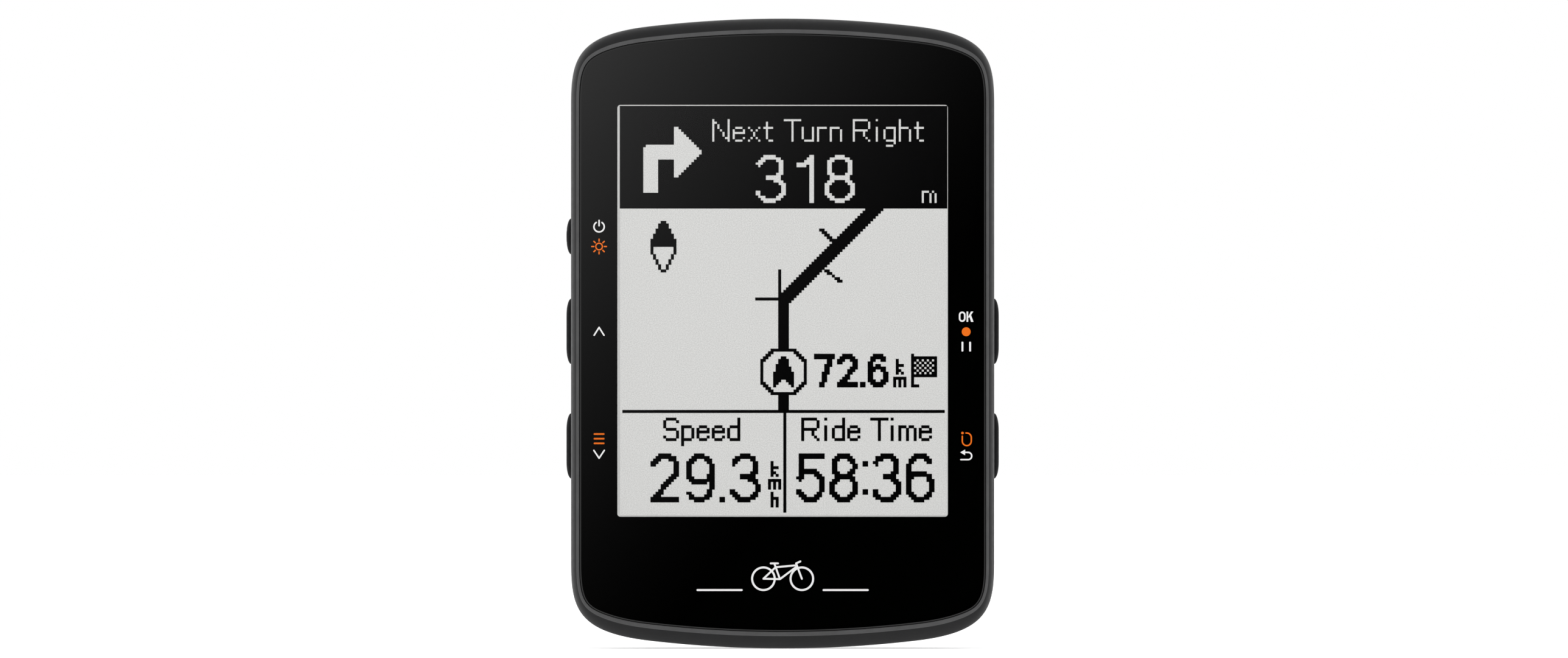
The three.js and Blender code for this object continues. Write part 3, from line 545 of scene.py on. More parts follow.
def display_light():
    """The display where no dot is on: pale reflective ground, with the matrix just visible in it."""
    made, tree, shader, _ = new_material("display_light_ground")
    ground = ramp(tree, noise(tree, 8000, 1), (0.535, 0.535, 0.525), (0.713, 0.713, 0.70))
    place = node(tree, "TexCoord").outputs["Object"]
    split = node(tree, "SeparateXYZ", {"Vector": place}).outputs
    turn_per_metre = 2 * math.pi / (DOT * 0.001)
    waves = []
    for axis in ("X", "Z"):
        waves.append(maths(tree, "COSINE", maths(tree, "MULTIPLY", split[axis], turn_per_metre)))
    gap = spread(tree, maths(tree, "MAXIMUM", *waves), 0.0, 0.12, 0.9, 1.0)
    mix = node(tree, "Mix", {"Factor": gap}, data_type="RGBA")
    colours = [socket for socket in mix.inputs if socket.type == "RGBA"]
    tree.links.new(ground, colours[0])
    colours[1].default_value = (0.50, 0.50, 0.49, 1)
    feed(tree, shader, {
        "Base Color": [socket for socket in mix.outputs if socket.type == "RGBA"][0],
        "Roughness": spread(tree, noise(tree, 700, 2), 0.6, 0.75),
        "Specular IOR Level": 0.0,
    })
    return made


DISPLAY_LIGHT = display_light()

# ---------------------------------------------------------------- camera, light and floor


def camera():
    data = bpy.data.cameras.new("camera")
    data.lens = 600
    data.sensor_width = 36
    data.clip_start = 0.01
    item = bpy.data.objects.new("camera", data)
    item.location = (0.000178, -3.4191, 0.00059)
    item.rotation_euler = (math.pi / 2, 0, 0)
    bpy.context.scene.collection.objects.link(item)
    bpy.context.scene.camera = item


ROOM_LIGHT = 1.12
ROOM_LEAST = 0.1
SIDE_GLOW = 0.1
HEIGHT_GLOW = -0.15
LEFT_GLOW = -0.12
BACK_SLANT = (1.2, 1.0)
BACK_SHADE = -0.45
# The glass is seen within about 0.012 of straight ahead, so the patch changes fast with direction.
PATCH_LIGHT = (0.0068, 0.00026)
PATCH_POWER = 1.4
PATCH_ACROSS = -772.8
PATCH_UP = 615.9
PATCH_MIDDLE = 4.09
PATCH_MOST = 1.2
# The patch is full up to the first angle from straight ahead, in degrees, and gone at the second.
PATCH_FADE = (6, 15)


def studio():
    """Soft light from all round, with a shaded patch in front that grades the cover glass."""
    world = bpy.data.worlds.new("studio")
    bpy.context.scene.world = world
    world.use_nodes = True
    world.cycles.sampling_method = "NONE"
    tree = world.node_tree
    tree.nodes.clear()

    def plus(first, *others):
        for other in others:
            first = maths(tree, "ADD", first, other)
        return first

    def times(value, factor):
        return maths(tree, "MULTIPLY", value, factor)

    place = node(tree, "TexCoord").outputs["Generated"]
    x, y, z = node(tree, "SeparateXYZ", {"Vector": place}).outputs
    aside = maths(tree, "ABSOLUTE", x)
    # All round: a little brighter at the sides and below than above.
    room = plus(times(aside, SIDE_GLOW), times(z, HEIGHT_GLOW), times(x, LEFT_GLOW), ROOM_LIGHT)
    # Behind the device: brighter above and at both sides, so that its edges show their shape.
    slant = plus(times(z, BACK_SLANT[1]), times(aside, BACK_SLANT[0]))
    behind = times(plus(slant, BACK_SHADE), maths(tree, "MAXIMUM", y, 0))
    room = maths(tree, "MAXIMUM", plus(room, behind), ROOM_LEAST)
    # Straight in front: bright at the upper left, falling to nothing at the lower right.
    slope = plus(times(x, PATCH_ACROSS), times(z, PATCH_UP), PATCH_MIDDLE)
    tone = maths(tree, "POWER", maths(tree, "MAXIMUM", slope, 0), PATCH_POWER)
    graded = plus(times(tone, PATCH_LIGHT[0]), times(times(tone, tone), PATCH_LIGHT[1]))
    patch = maths(tree, "MINIMUM", graded, PATCH_MOST)
    full, gone = [math.cos(math.radians(angle)) for angle in PATCH_FADE]
    inputs = {"Value": times(y, -1), "From Min": gone, "From Max": full}
    mask = node(tree, "MapRange", inputs, interpolation_type="SMOOTHSTEP").outputs["Result"]
    light = plus(times(room, maths(tree, "SUBTRACT", 1, mask)), times(patch, mask))
    lit = node(tree, "Background", {"Strength": light})
    seen = node(tree, "Background", {"Strength": 1.0, "Color": (1, 1, 1, 1)})
    mix = node(tree, "MixShader", {
        "Fac": node(tree, "LightPath").outputs["Is Camera Ray"],
        1: lit.outputs["Background"],
        2: seen.outputs["Background"],
    })
    node(tree, "OutputWorld", {"Surface": mix.outputs["Shader"]})


FLOOR_HALF = 4.0
FLOOR_GLOW = 0.5


def floor():
    """Plain pale floor under the device, clear when seen from below."""
    made, tree, shader, output = new_material("floor_pale")
    feed(tree, shader, {
        "Base Color": ramp(tree, noise(tree, 14, 2), (0.94, 0.94, 0.94), (0.97, 0.97, 0.97)),
        "Roughness": 0.9,
        "Specular IOR Level": 0.1,
        "Emission Color": (1, 1, 1, 1),
        "Emission Strength": FLOOR_GLOW,
    })
    backs = node(tree, "NewGeometry").outputs["Backfacing"]
    clear_to(tree, shader.outputs["BSDF"], output, (backs,))
    # Half the length of the case, in metres.
    low = -CASE_LENGTH / 2000
    mesh = bpy.data.meshes.new("floor")
    signs = ((-1, -1), (1, -1), (1, 1), (-1, 1))
    corners = [(sign_x * FLOOR_HALF, sign_y * FLOOR_HALF, low) for sign_x, sign_y in signs]
    mesh.from_pydata(corners, [], [(0, 1, 2, 3)])
    mesh.materials.append(made)
    item = bpy.data.objects.new("floor", mesh)
    item.visible_glossy = False
    item.visible_transmission = False
    bpy.context.scene.collection.objects.link(item)


bpy.context.scene.view_settings.view_transform = "Standard"
bpy.context.scene.view_settings.look = "None"
camera()
studio()
floor()

# ---------------------------------------------------------------- casing


def front_case():
    """Bezel: straight wall, rounded flank, a crease, the flat lip, and the pocket for the glass."""
    chamfer = 0.1
    levels = [(SPLIT_Z, (chamfer,) * 3), (SPLIT_Z + chamfer, (0, 0, 0)), (16.8, (0, 0, 0))]
    bands = [0, 0, 0]
    last = math.radians(62)
    steps = 16
    start_z = FRONT_Z - FLANK_DEPTH
    for i in range(steps + 1):
        angle = last * i / steps
        rise = math.sin(angle) / math.sin(last)
        run = (1 - math.cos(angle)) / (1 - math.cos(last))
        levels.append((start_z + (FLANK_DEPTH - 0.05) * rise, scaled(FLANK, run)))
        bands.append(0)
    bands[-1] = 1
    levels.append((FRONT_Z, deeper(FLANK, 0.05)))
    bands.append(1)
    levels.append((FRONT_Z, deeper(LENS_POCKET, -0.06)))
    bands.append(1)
    levels.append((FRONT_Z - 0.06, LENS_POCKET))
    bands.append(0)
    levels += [
        (LEDGE_TOP_Z, LENS_POCKET),
        (LEDGE_TOP_Z, LEDGE_OPENING),
        (LEDGE_BOTTOM_Z, LEDGE_OPENING),
        (LEDGE_BOTTOM_Z, WALL),
        (SPLIT_Z, WALL),
    ]
    bands += [0] * 5
    rings = [(z, case_ring(inset)) for z, inset in levels]
    add_piece(
        "front_case", loft(rings, closed=True, bands=bands), [FRONT_BLACK, LIP_BLACK],
        stands_for=["front_housing"], sharp=20,
    )
    bosses = []
    for x, y in BOSSES:
        bosses.append(tube(circle(2.2, 32, x, y), circle(0.8, 32, x, y), 11.1, LEDGE_BOTTOM_Z - 0.005))
    add_piece("front_case_bosses", joined(*bosses), [FRONT_BLACK])


def rear_outside(top, chamfer=0.0):
    """The outside of the rear case up to a height, as a solid."""
    levels = []
    steps = 14
    for i in range(steps + 1):
        angle = math.pi / 2 * (1 - i / steps)
        inset = BACK_ROUNDING * (1 - math.cos(angle))
        levels.append((BACK_Z + BACK_ROUNDING * (1 - math.sin(angle)), (inset,) * 3))
    levels.append((top - chamfer, (0, 0, 0)))
    if chamfer:
        levels.append((top, (chamfer,) * 3))
    return levels


def flared(ring_at, deep, mouth, flare, beyond=1.5):
    """A cutter from a depth out through a surface at the mouth, with a chamfer there."""
    step = 1 if mouth > deep else -1
    return loft([
        (deep, ring_at(0)),
        (mouth - step * flare, ring_at(0)),
        (mouth + step * beyond, ring_at(flare + beyond)),
    ])


def rear_case():
    """Tub with a rounded back, slots for the buttons, and recesses for lug, screws and charging cover."""
    outside = [(z, case_ring(inset)) for z, inset in rear_outside(SPLIT_Z, 0.1)]
    inside = [
        (FLOOR_Z, case_ring(deeper(WALL, 1.2))),
        (FLOOR_Z + 1.2, case_ring(WALL)),
        (SPLIT_Z, case_ring(WALL)),
    ]
    tub = loft(inside + outside[::-1])
    joins = [prism(circle(2.4, 32, x, y), FLOOR_Z - 0.5, 11.05) for x, y in BOSSES]
    joins.append(prism(circle(17.5, 72), FLOOR_Z - 0.5, 6.6))
    cuts = []
    wall = CASE_WIDTH / 2
    for _, side, y, length in BUTTONS:

        def slot_ring(grow, wide=length + 0.3):
            return obround(wide + 2 * grow, 3.7 + 2 * grow)

        cuts.append(on_side(flared(slot_ring, wall - 3, wall, 0.1, 1), side, y))
    for x, y in BOSSES:
        cuts.append(flared(lambda grow, x=x, y=y: circle(1.75 + grow, 40, x, y), SCREW_SEAT_Z, BACK_Z, 0.2))
        cuts.append(prism(circle(0.9, 24, x, y), SCREW_SEAT_Z - 0.5, 12))
    cuts.append(flared(lambda grow: circle(16.3 + grow, 96), 5.3, BACK_Z, 0.12))
    for sign in (1, -1):
        cuts.append(prism(circle(0.95, 24, 0, sign * LUG_SCREW_Y), 4.8, 6.5))
    cuts.append(flared(lambda grow: circle(0.5 + grow, 24, *VENT), FLOOR_Z + 0.6, BACK_Z, 0.2))
    recess = flared(
        lambda grow: rounded_box(15.3 + 2 * grow, 6.5 + 2 * grow, 1.05 + grow, 0, 9.2), 39.6, 41, 0.0,
    )
    notch = prism(obround(5, 1.4, 15), 40.1, 43)
    aperture = prism(obround(10.4, 4), 36.4, 43)
    cuts.append(along_minus_y(recess))
    cuts.append(moved(along_minus_y(notch), z=12.3))
    cuts.append(at_socket(aperture))
    cuts.append(hinge_rod(0.85, 32, 7.65))
    cuts.append(hinge_rod(0.35, 20, 8.9))
    add_piece(
        "rear_case", carve(tub, joins, cuts), [REAR_BLACK],
        stands_for=["rear_housing"], sharp=28,
    )


def screw(name, node, x, y, seat, head, height, shank, length):
    """Cap screw with a chamfered head, a six-lobed socket and a plain shank."""
    points = 48

    def ring(radius):
        return circle(radius, points, x, y)

    lobed = circle(head * 0.44, points, x, y, 6, head * 0.06)
    levels = [
        (seat - height * 0.35, ring(head * 0.1)),
        (seat - height * 0.4, lobed),
        (seat - height + 0.05, lobed),
        (seat - height, ring(head * 0.55)),
        (seat - height, ring(head - 0.18)),
        (seat - height + 0.18, ring(head)),
        (seat, ring(head)),
        (seat, ring(shank)),
        (seat + length - 0.3, ring(shank)),
        (seat + length, ring(shank * 0.7)),
    ]
    add_piece(name, loft(levels), [SCREW_STEEL], stands_for=[node], sharp=25)


def screws():
    for i, (x, y) in enumerate(BOSSES):
        screw(f"case_screw_{i + 1}", f"housing_screw_{i + 1}", x, y, SCREW_SEAT_Z, 1.5, 1.2, 0.75, 8.6)
    for i, sign in enumerate((1, -1)):
        y = sign * LUG_SCREW_Y
        screw(f"lug_screw_{i + 1}", f"insert_screw_{i + 1}", 0, y, LUG_SCREW_SEAT_Z, 1.8, 1.2, 0.9, 5)


EAR_RADIUS = 14.75
EAR_HALF_WIDTH = 7.5


def ear_ring(shrink):
    """Outline of the lug's two ears: a disc cut flat above and below."""
    radius = EAR_RADIUS - shrink
    half = EAR_HALF_WIDTH - shrink
    reach = math.degrees(math.asin(half / radius))
    ring = []
    for middle in (0, 180):
        ring += arc(0, 0, radius, radius, middle - reach, middle + reach, 24)
    return ring


def lug():
    """Quarter-turn lug: flange let into the back, round neck with a fillet, and two chamfered ears."""
    fillet = 0.8
    levels = [(0, circle(11.7, 120)), (0.3, circle(12, 120))]
    for i in range(9):
        angle = math.pi / 2 * i / 8
        levels.append((
            BACK_Z - fillet + fillet * math.sin(angle), circle(12 + fillet * (1 - math.cos(angle)), 120),
        ))
    levels += [(BACK_Z, circle(16.1, 120)), (BACK_Z + 0.1, circle(16.2, 120)), (5.3, circle(16.2, 120))]
    ears = loft([(0, ear_ring(0.35)), (0.35, ear_ring(0)), (1.8, ear_ring(0)), (2.0, ear_ring(0.2))])
    cuts = []
    for sign in (1, -1):
        y = sign * LUG_SCREW_Y
        cuts.append(flared(lambda grow, y=y: circle(1.95 + grow, 40, 0, y), LUG_SCREW_SEAT_Z, 0, 0.2, 1))
        cuts.append(prism(circle(1, 24, 0, y), 0.5, 6))
    add_piece(
        "lug", carve(loft(levels), [ears], cuts), [LUG_NYLON],
        stands_for=["quarter_turn_insert"], sharp=25,
    )


# ---------------------------------------------------------------- buttons and charging cover


def button(name, side, y, length):
    """Button with a domed cap, a stem, a flange behind the wall and the nub that works its switch."""
    levels = oblongs((
        (-3.9, 1.5, 1.5),
        (-3.8, 1.6, 1.6),
        (-2.7, 1.6, 1.6),
        (-2.7, length + 0.9, 4.3),
        (-2.1, length + 0.9, 4.3),
        (-2.1, length - 2.4, 1.8),
        (-1.05, length - 2.4, 1.8),
        (-1.05, length, BUTTON_HEIGHT),
    ))
    steps = 12
    for i in range(steps + 1):
        angle = math.pi / 2 * i / steps
        run = 1 - math.cos(angle)
        ring = obround(length - 4.2 * run, BUTTON_HEIGHT - 2.4 * run)
        levels.append((BUTTON_PROUD * math.sin(angle), ring))
    add_piece(
        f"{name}_key", on_side(loft(levels), side, y, CASE_WIDTH / 2), [RUBBER], body=f"{name}_button",
        stands_for=[f"{name}_button"], sharp=30,
    )


def charging_cover():
    """Rubber cover flush with the bottom end, with a plug inside and a knuckle along its rear edge."""
    outside = loft([(z, case_ring(inset)) for z, inset in rear_outside(SPLIT_Z)])

    def ring(grow):
        return rounded_box(15 + 2 * grow, 10.7 + 2 * grow, 0.9 + grow, 0, HINGE_Z)

    face = loft([(39.7, ring(0)), (40.7, ring(0)), (41.2, ring(-0.4))])
    skin = carve(outside, common=[along_minus_y(face), block((-20, -50, HINGE_Z), (20, 0, 20))])
    plug = loft(oblongs(((39.15, 9.5, 3.0), (39.25, 9.7, 3.2), (40, 9.7, 3.2))))
    knuckle = hinge_rod(0.65, 40, 7.5)
    made = carve(skin, [knuckle, at_socket(plug)], [hinge_rod(0.35, 24, 8.5)])
    add_piece(
        "charging_cover", made, [COVER_RUBBER], body="usb_cover", stands_for=["usb_cover"],
        sharp=28,
    )


def charging_socket():
    """Drawn metal shell with a hollow mouth, and a tongue with its contacts."""
    shell = loft(oblongs((
        (31.6, 9, 3.2),
        (38.8, 9, 3.2),
        (38.9, 8.9, 3.1),
        (38.9, 8.5, 2.7),
        (38.8, 8.4, 2.6),
        (32.6, 8.4, 2.6),
    )))
    add_piece(
        "charging_shell", at_socket(shell), [NICKEL], stands_for=["usb_socket"], sharp=30,
    )
    tongue = loft([
        (32.55, rounded_box(6.7, 0.7, 0.1)),
        (38.2, rounded_box(6.7, 0.7, 0.1)),
        (38.3, rounded_box(6.5, 0.5, 0.1)),
    ])
    add_piece("charging_tongue", at_socket(tongue), [CHIP_BLACK])
    contacts = []
    for i in range(12):
        x = (i - 5.5) * 0.5
        for sign in (1, -1):
            low, high = sorted((sign * 0.34, sign * 0.37))
            contacts.append(block((x - 0.12, -38.0, SOCKET_Z + low), (x + 0.12, -34.5, SOCKET_Z + high)))
    add_piece("charging_contacts", joined(*contacts), [GOLD])


# ---------------------------------------------------------------- glass, print and legends


# The clear window is a hair lower than the band, and the signs are a hair proud of it.
PRINT_TOP = LENS_FRONT_Z - 0.01
PRINT_BOTTOM = PRINT_TOP - 0.01
LEGEND_TOP = LENS_FRONT_Z + 0.008


def lens():
    """Cover glass: a polished black band with a chamfered edge, and the clear window in it.

    The display is bonded to the back of the window."""
    width, height, x, y = WINDOW
    band = loft([
        (LENS_BACK_Z, case_ring(deeper(LENS_EDGE, 0.05))),
        (LENS_BACK_Z + 0.05, case_ring(LENS_EDGE)),
        (LENS_FRONT_Z - LENS_CHAMFER * 0.4, case_ring(LENS_EDGE)),
        (LENS_FRONT_Z, case_ring(deeper(LENS_EDGE, LENS_CHAMFER))),
    ])
    hole = prism(rounded_box(width, height, 0.4, x, y), LENS_BACK_Z - 1, LENS_FRONT_Z + 1)
    add_piece(
        "lens_band", carve(band, cuts=[hole]), [BLACK_GLASS],
        stands_for=["front_lens"], sharp=20,
    )
    pane = prism(rounded_box(width + 0.1, height + 0.1, 0.45, x, y), DISPLAY_TOP_Z - 0.02, PRINT_TOP)
    add_piece("lens_window", pane, [GLASS], sharp=20)


def printed(ring):
    return prism(ring, PRINT_BOTTOM, LEGEND_TOP)


def ribbon(points, width):
    """A smooth stroke of one width along points, with round ends."""
    path = [Vector(p) for p in points]
    left, right = [], []
    for i, point in enumerate(path):
        along = (path[min(i + 1, len(path) - 1)] - path[max(i - 1, 0)]).normalized()
        across = Vector((-along.y, along.x)) * width / 2
        left.append(point + across)
        right.append(point - across)

    def cap(centre, start):
        turn = math.atan2(start.y - centre.y, start.x - centre.x)
        return [
            centre + Vector((math.cos(turn - a), math.sin(turn - a))) * width / 2
            for a in (math.pi * k / 8 for k in range(1, 8))
        ]

    ring = left + cap(path[-1], left[-1]) + right[::-1] + cap(path[0], right[0])
    return printed([tuple(p) for p in ring][::-1])


def bent_stroke(points, width):
    """A stroke of one width through a few corners, round at each."""
    parts = [ribbon(points[i : i + 2], width) for i in range(len(points) - 1)]
    return carve(parts[0], joins=parts[1:])


def disc(x, y, radius):
    return printed(circle(radius, 40, x, y))


def ring_mark(x, y, outer, inner):
    return tube(circle(outer, 48, x, y), circle(inner, 48, x, y), PRINT_BOTTOM, LEGEND_TOP)


def letter_o(x, y, width, height, stroke):
    outer = obround(width, height, 17, x, y)
    inner = obround(width - 2 * stroke, height - 2 * stroke, 17, x, y)
    return tube(outer, inner, PRINT_BOTTOM, LEGEND_TOP)


def letter_k(left, y, width, height, stroke):
    """A K as a stem and two legs, all cut square at the top and bottom."""
    half = height / 2
    shapes = (
        [(left, y - half), (left + stroke, y - half), (left + stroke, y + half), (left, y + half)],
        [
            (left + stroke - 0.05, y - 0.16), (left + stroke + 0.16, y - 0.06),
            (left + width, y + half), (left + width - 0.32, y + half),
        ],
        [
            (left + 0.36, y + 0.02), (left + width - 0.3, y - half),
            (left + width + 0.02, y - half), (left + 0.56, y + 0.26),
        ],
    )
    parts = [printed(shape) for shape in shapes]
    return carve(parts[0], joins=parts[1:])


def bicycle(x, y):
    """A plain bicycle sign, with a rule on each side of it."""
    rear, front = (x - 2.5, y), (x + 2.5, y)
    crank, seat, steering = (x - 0.35, y - 0.05), (x - 1.05, y + 1.9), (x + 1.75, y + 2.0)
    lines = [
        [rear, crank, (x + 1.85, y + 1.6)],
        [rear, (x - 0.92, y + 1.5), (x + 1.8, y + 1.75)],
        [crank, seat],
        [front, steering, (x + 2.3, y + 2.25)],
        [(x - 1.55, y + 2.0), (x - 0.6, y + 2.0)],
    ]
    strokes = [bent_stroke(line, 0.24) for line in lines]
    marks = [carve(ring_mark(*rear, 1.6, 1.34), joins=[ring_mark(*front, 1.6, 1.34), *strokes])]
    for side in (-1, 1):
        rule = rounded_box(6.0, 0.26, 0.12, x + side * 8.2, y - 1.47)
        marks.append(printed(rule))
    return marks


def legends():
    """Printed signs beside the buttons, and a plain one below the display."""
    left, right = -23.88, 23.88
    # Power, up, down, OK, pause and back.
    white = [
        ribbon(arc(left, 13.89, 0.67, 0.67, 124, 416, 40), 0.19),
        ribbon([(left, 14.72), (left, 14.03)], 0.19),
        bent_stroke([(left - 0.64, -0.22), (left, 0.8), (left + 0.64, -0.22)], 0.19),
        bent_stroke([(left - 0.68, -15.2), (left, -16.22), (left + 0.68, -15.2)], 0.19),
        letter_o(right - 0.52, 2.19, 0.88, 1.34, 0.21),
        letter_k(right + 0.05, 2.19, 0.88, 1.34, 0.21),
    ]
    for side in (-1, 1):
        bar = rounded_box(0.24, 1.26, 0.06, right + 0.01 + 0.5 * side, -1.7)
        white.append(printed(bar))
    bend = [(right - 0.25, -15.46), (right + 0.25, -15.46)]
    bend += arc(right + 0.25, -15.93, 0.47, 0.47, 88, -88, 24)
    bend += [(right + 0.25, -16.4), (right - 0.69, -16.4)]
    head = [(right - 0.78, -15.46), (right - 0.14, -15.83), (right - 0.14, -15.09)]
    white.append(carve(ribbon(bend, 0.19), joins=[printed(head)]))
    # Light, menu, record and lap.
    orange = [ring_mark(left, 11.32, 0.51, 0.35)]
    for i in range(8):
        turn = Vector((math.cos(math.pi * i / 4), math.sin(math.pi * i / 4)))
        centre = Vector((left, 11.32))
        orange.append(ribbon([centre + turn * 0.69, centre + turn * 0.95], 0.17))
    for i in (-1, 0, 1):
        bar = rounded_box(1.4, 0.21, 0.08, left, -13.68 + 0.605 * i)
        orange.append(printed(bar))
    orange.append(disc(right, 0.235, 0.58))
    loop = [(right - 0.03, -12.94)]
    loop += arc(right + 0.08, -13.53, 0.585, 0.59, 90, 2, 14)
    loop += arc(right + 0.08, -13.99, 0.585, 0.59, 0, -180, 24)
    loop += [(right - 0.505, -13.36)]
    orange.append(ribbon(loop, 0.18))
    orange.append(disc(right - 0.485, -12.94, 0.17))
    white += bicycle(0.0, -31.9)
    add_piece("legend_white", joined(*white), [WHITE_INK])
    add_piece("legend_orange", joined(*orange), [ORANGE_INK])


# ---------------------------------------------------------------- display

# Large figures as strokes, with x from 0 to 1 over the width and y from 0 on the line to 1 at the top.
FIGURES = {
    "1": [[(0, 0.82), (0.5, 0.82), (1, 1), (1, 0)]],
    "2": [arc(0.5, 0.72, 0.5, 0.28, 165, -25) + [(0, 0), (1, 0)]],
    "3": [arc(0.48, 0.76, 0.46, 0.24, 160, -85) + [(0.4, 0.52)], arc(0.48, 0.26, 0.52, 0.26, 85, -160)],
    "5": [[(0.95, 1), (0.14, 1), (0.05, 0.5)] + arc(0.48, 0.33, 0.52, 0.33, 140, -155)],
    "6": [arc(0.52, 0.7, 0.48, 0.3, 35, 180) + [(0.0, 0.3)], arc(0.5, 0.31, 0.5, 0.31, 0, 360)],
    "7": [[(0, 1), (1, 1), (0.62, 0.5), (0.38, 0)]],
    "8": [arc(0.5, 0.76, 0.44, 0.24, 0, 360), arc(0.5, 0.27, 0.5, 0.27, 0, 360)],
    "9": [arc(0.48, 0.3, 0.48, 0.3, -145, 0) + [(1, 0.7)], arc(0.5, 0.69, 0.5, 0.31, 0, 360)],
    ".": [[(0.5, 0), (0.5, 0)]],
    ":": [[(0.5, 0.18), (0.5, 0.18)], [(0.5, 0.8), (0.5, 0.8)]],
}
# Small letters: how many dots wide, and strokes one dot wide through (x, y) in dots, y up from the line.
LETTERS = {
    " ": (2, []),
    "N": (7, [[(0, 0), (0, 8), (6, 0), (6, 8)]]),
    "R": (7, [[(0, 0), (0, 8), (5, 8), (6, 7), (6, 5), (5, 4), (0, 4)], [(3, 4), (6, 0)]]),
    "S": (6, [[
        (5, 7), (4, 8), (1, 8), (0, 7), (0, 5), (1, 4), (4, 4), (5, 3), (5, 1), (4, 0), (1, 0), (0, 1),
    ]]),
    "T": (6, [[(0, 8), (6, 8)], [(3, 8), (3, 0)]]),
    "d": (5, [[(4, 8), (4, 0), (1, 0), (0, 1), (0, 4), (1, 5), (4, 5)]]),
    "e": (5, [[(0, 3), (4, 3), (4, 4), (3, 5), (1, 5), (0, 4), (0, 1), (1, 0), (3, 0), (4, 1)]]),
    "g": (5, [[(4, 0), (1, 0), (0, 1), (0, 4), (1, 5), (4, 5), (4, -1), (3, -2), (1, -2)]]),
    "h": (5, [[(0, 0), (0, 8)], [(0, 5), (3, 5), (4, 4), (4, 0)]]),
    "i": (3, [[(1, 0), (1, 5)], [(1, 8), (1, 8)]]),
    "m": (7, [[(0, 0), (0, 5), (2, 5), (3, 4), (3, 0)], [(3, 4), (4, 5), (5, 5), (6, 4), (6, 0)]]),
    "n": (5, [[(0, 0), (0, 5), (3, 5), (4, 4), (4, 0)]]),
    "p": (5, [[(0, -2), (0, 5), (3, 5), (4, 4), (4, 1), (3, 0), (0, 0)]]),
    "r": (4, [[(0, 0), (0, 5)], [(0, 4), (1, 5), (3, 5)]]),
    "t": (4, [[(1, 7), (1, 1), (2, 0), (3, 0)], [(0, 5), (3, 5)]]),
    "u": (5, [[(0, 5), (0, 1), (1, 0), (4, 0)], [(4, 5), (4, 0)]]),
    "x": (5, [[(0, 5), (2, 3), (2, 2), (4, 0)], [(4, 5), (2, 3), (2, 2), (0, 0)]]),
    # Letters of the units, smaller still.
    "metre": (6, [[(0, 0), (0, 4), (2, 4)], [(3, 0), (3, 3), (4, 4), (5, 3), (5, 0)]]),
    "kilo": (3, [[(0, 0), (0, 5)], [(1, 3), (2, 3)], [(1, 1), (2, 0)]]),
    "milli": (5, [[(0, 0), (0, 3), (4, 3), (4, 0)], [(2, 3), (2, 0)]]),
    "hour": (3, [[(0, 0), (0, 5)], [(0, 3), (2, 3), (2, 0)]]),
}


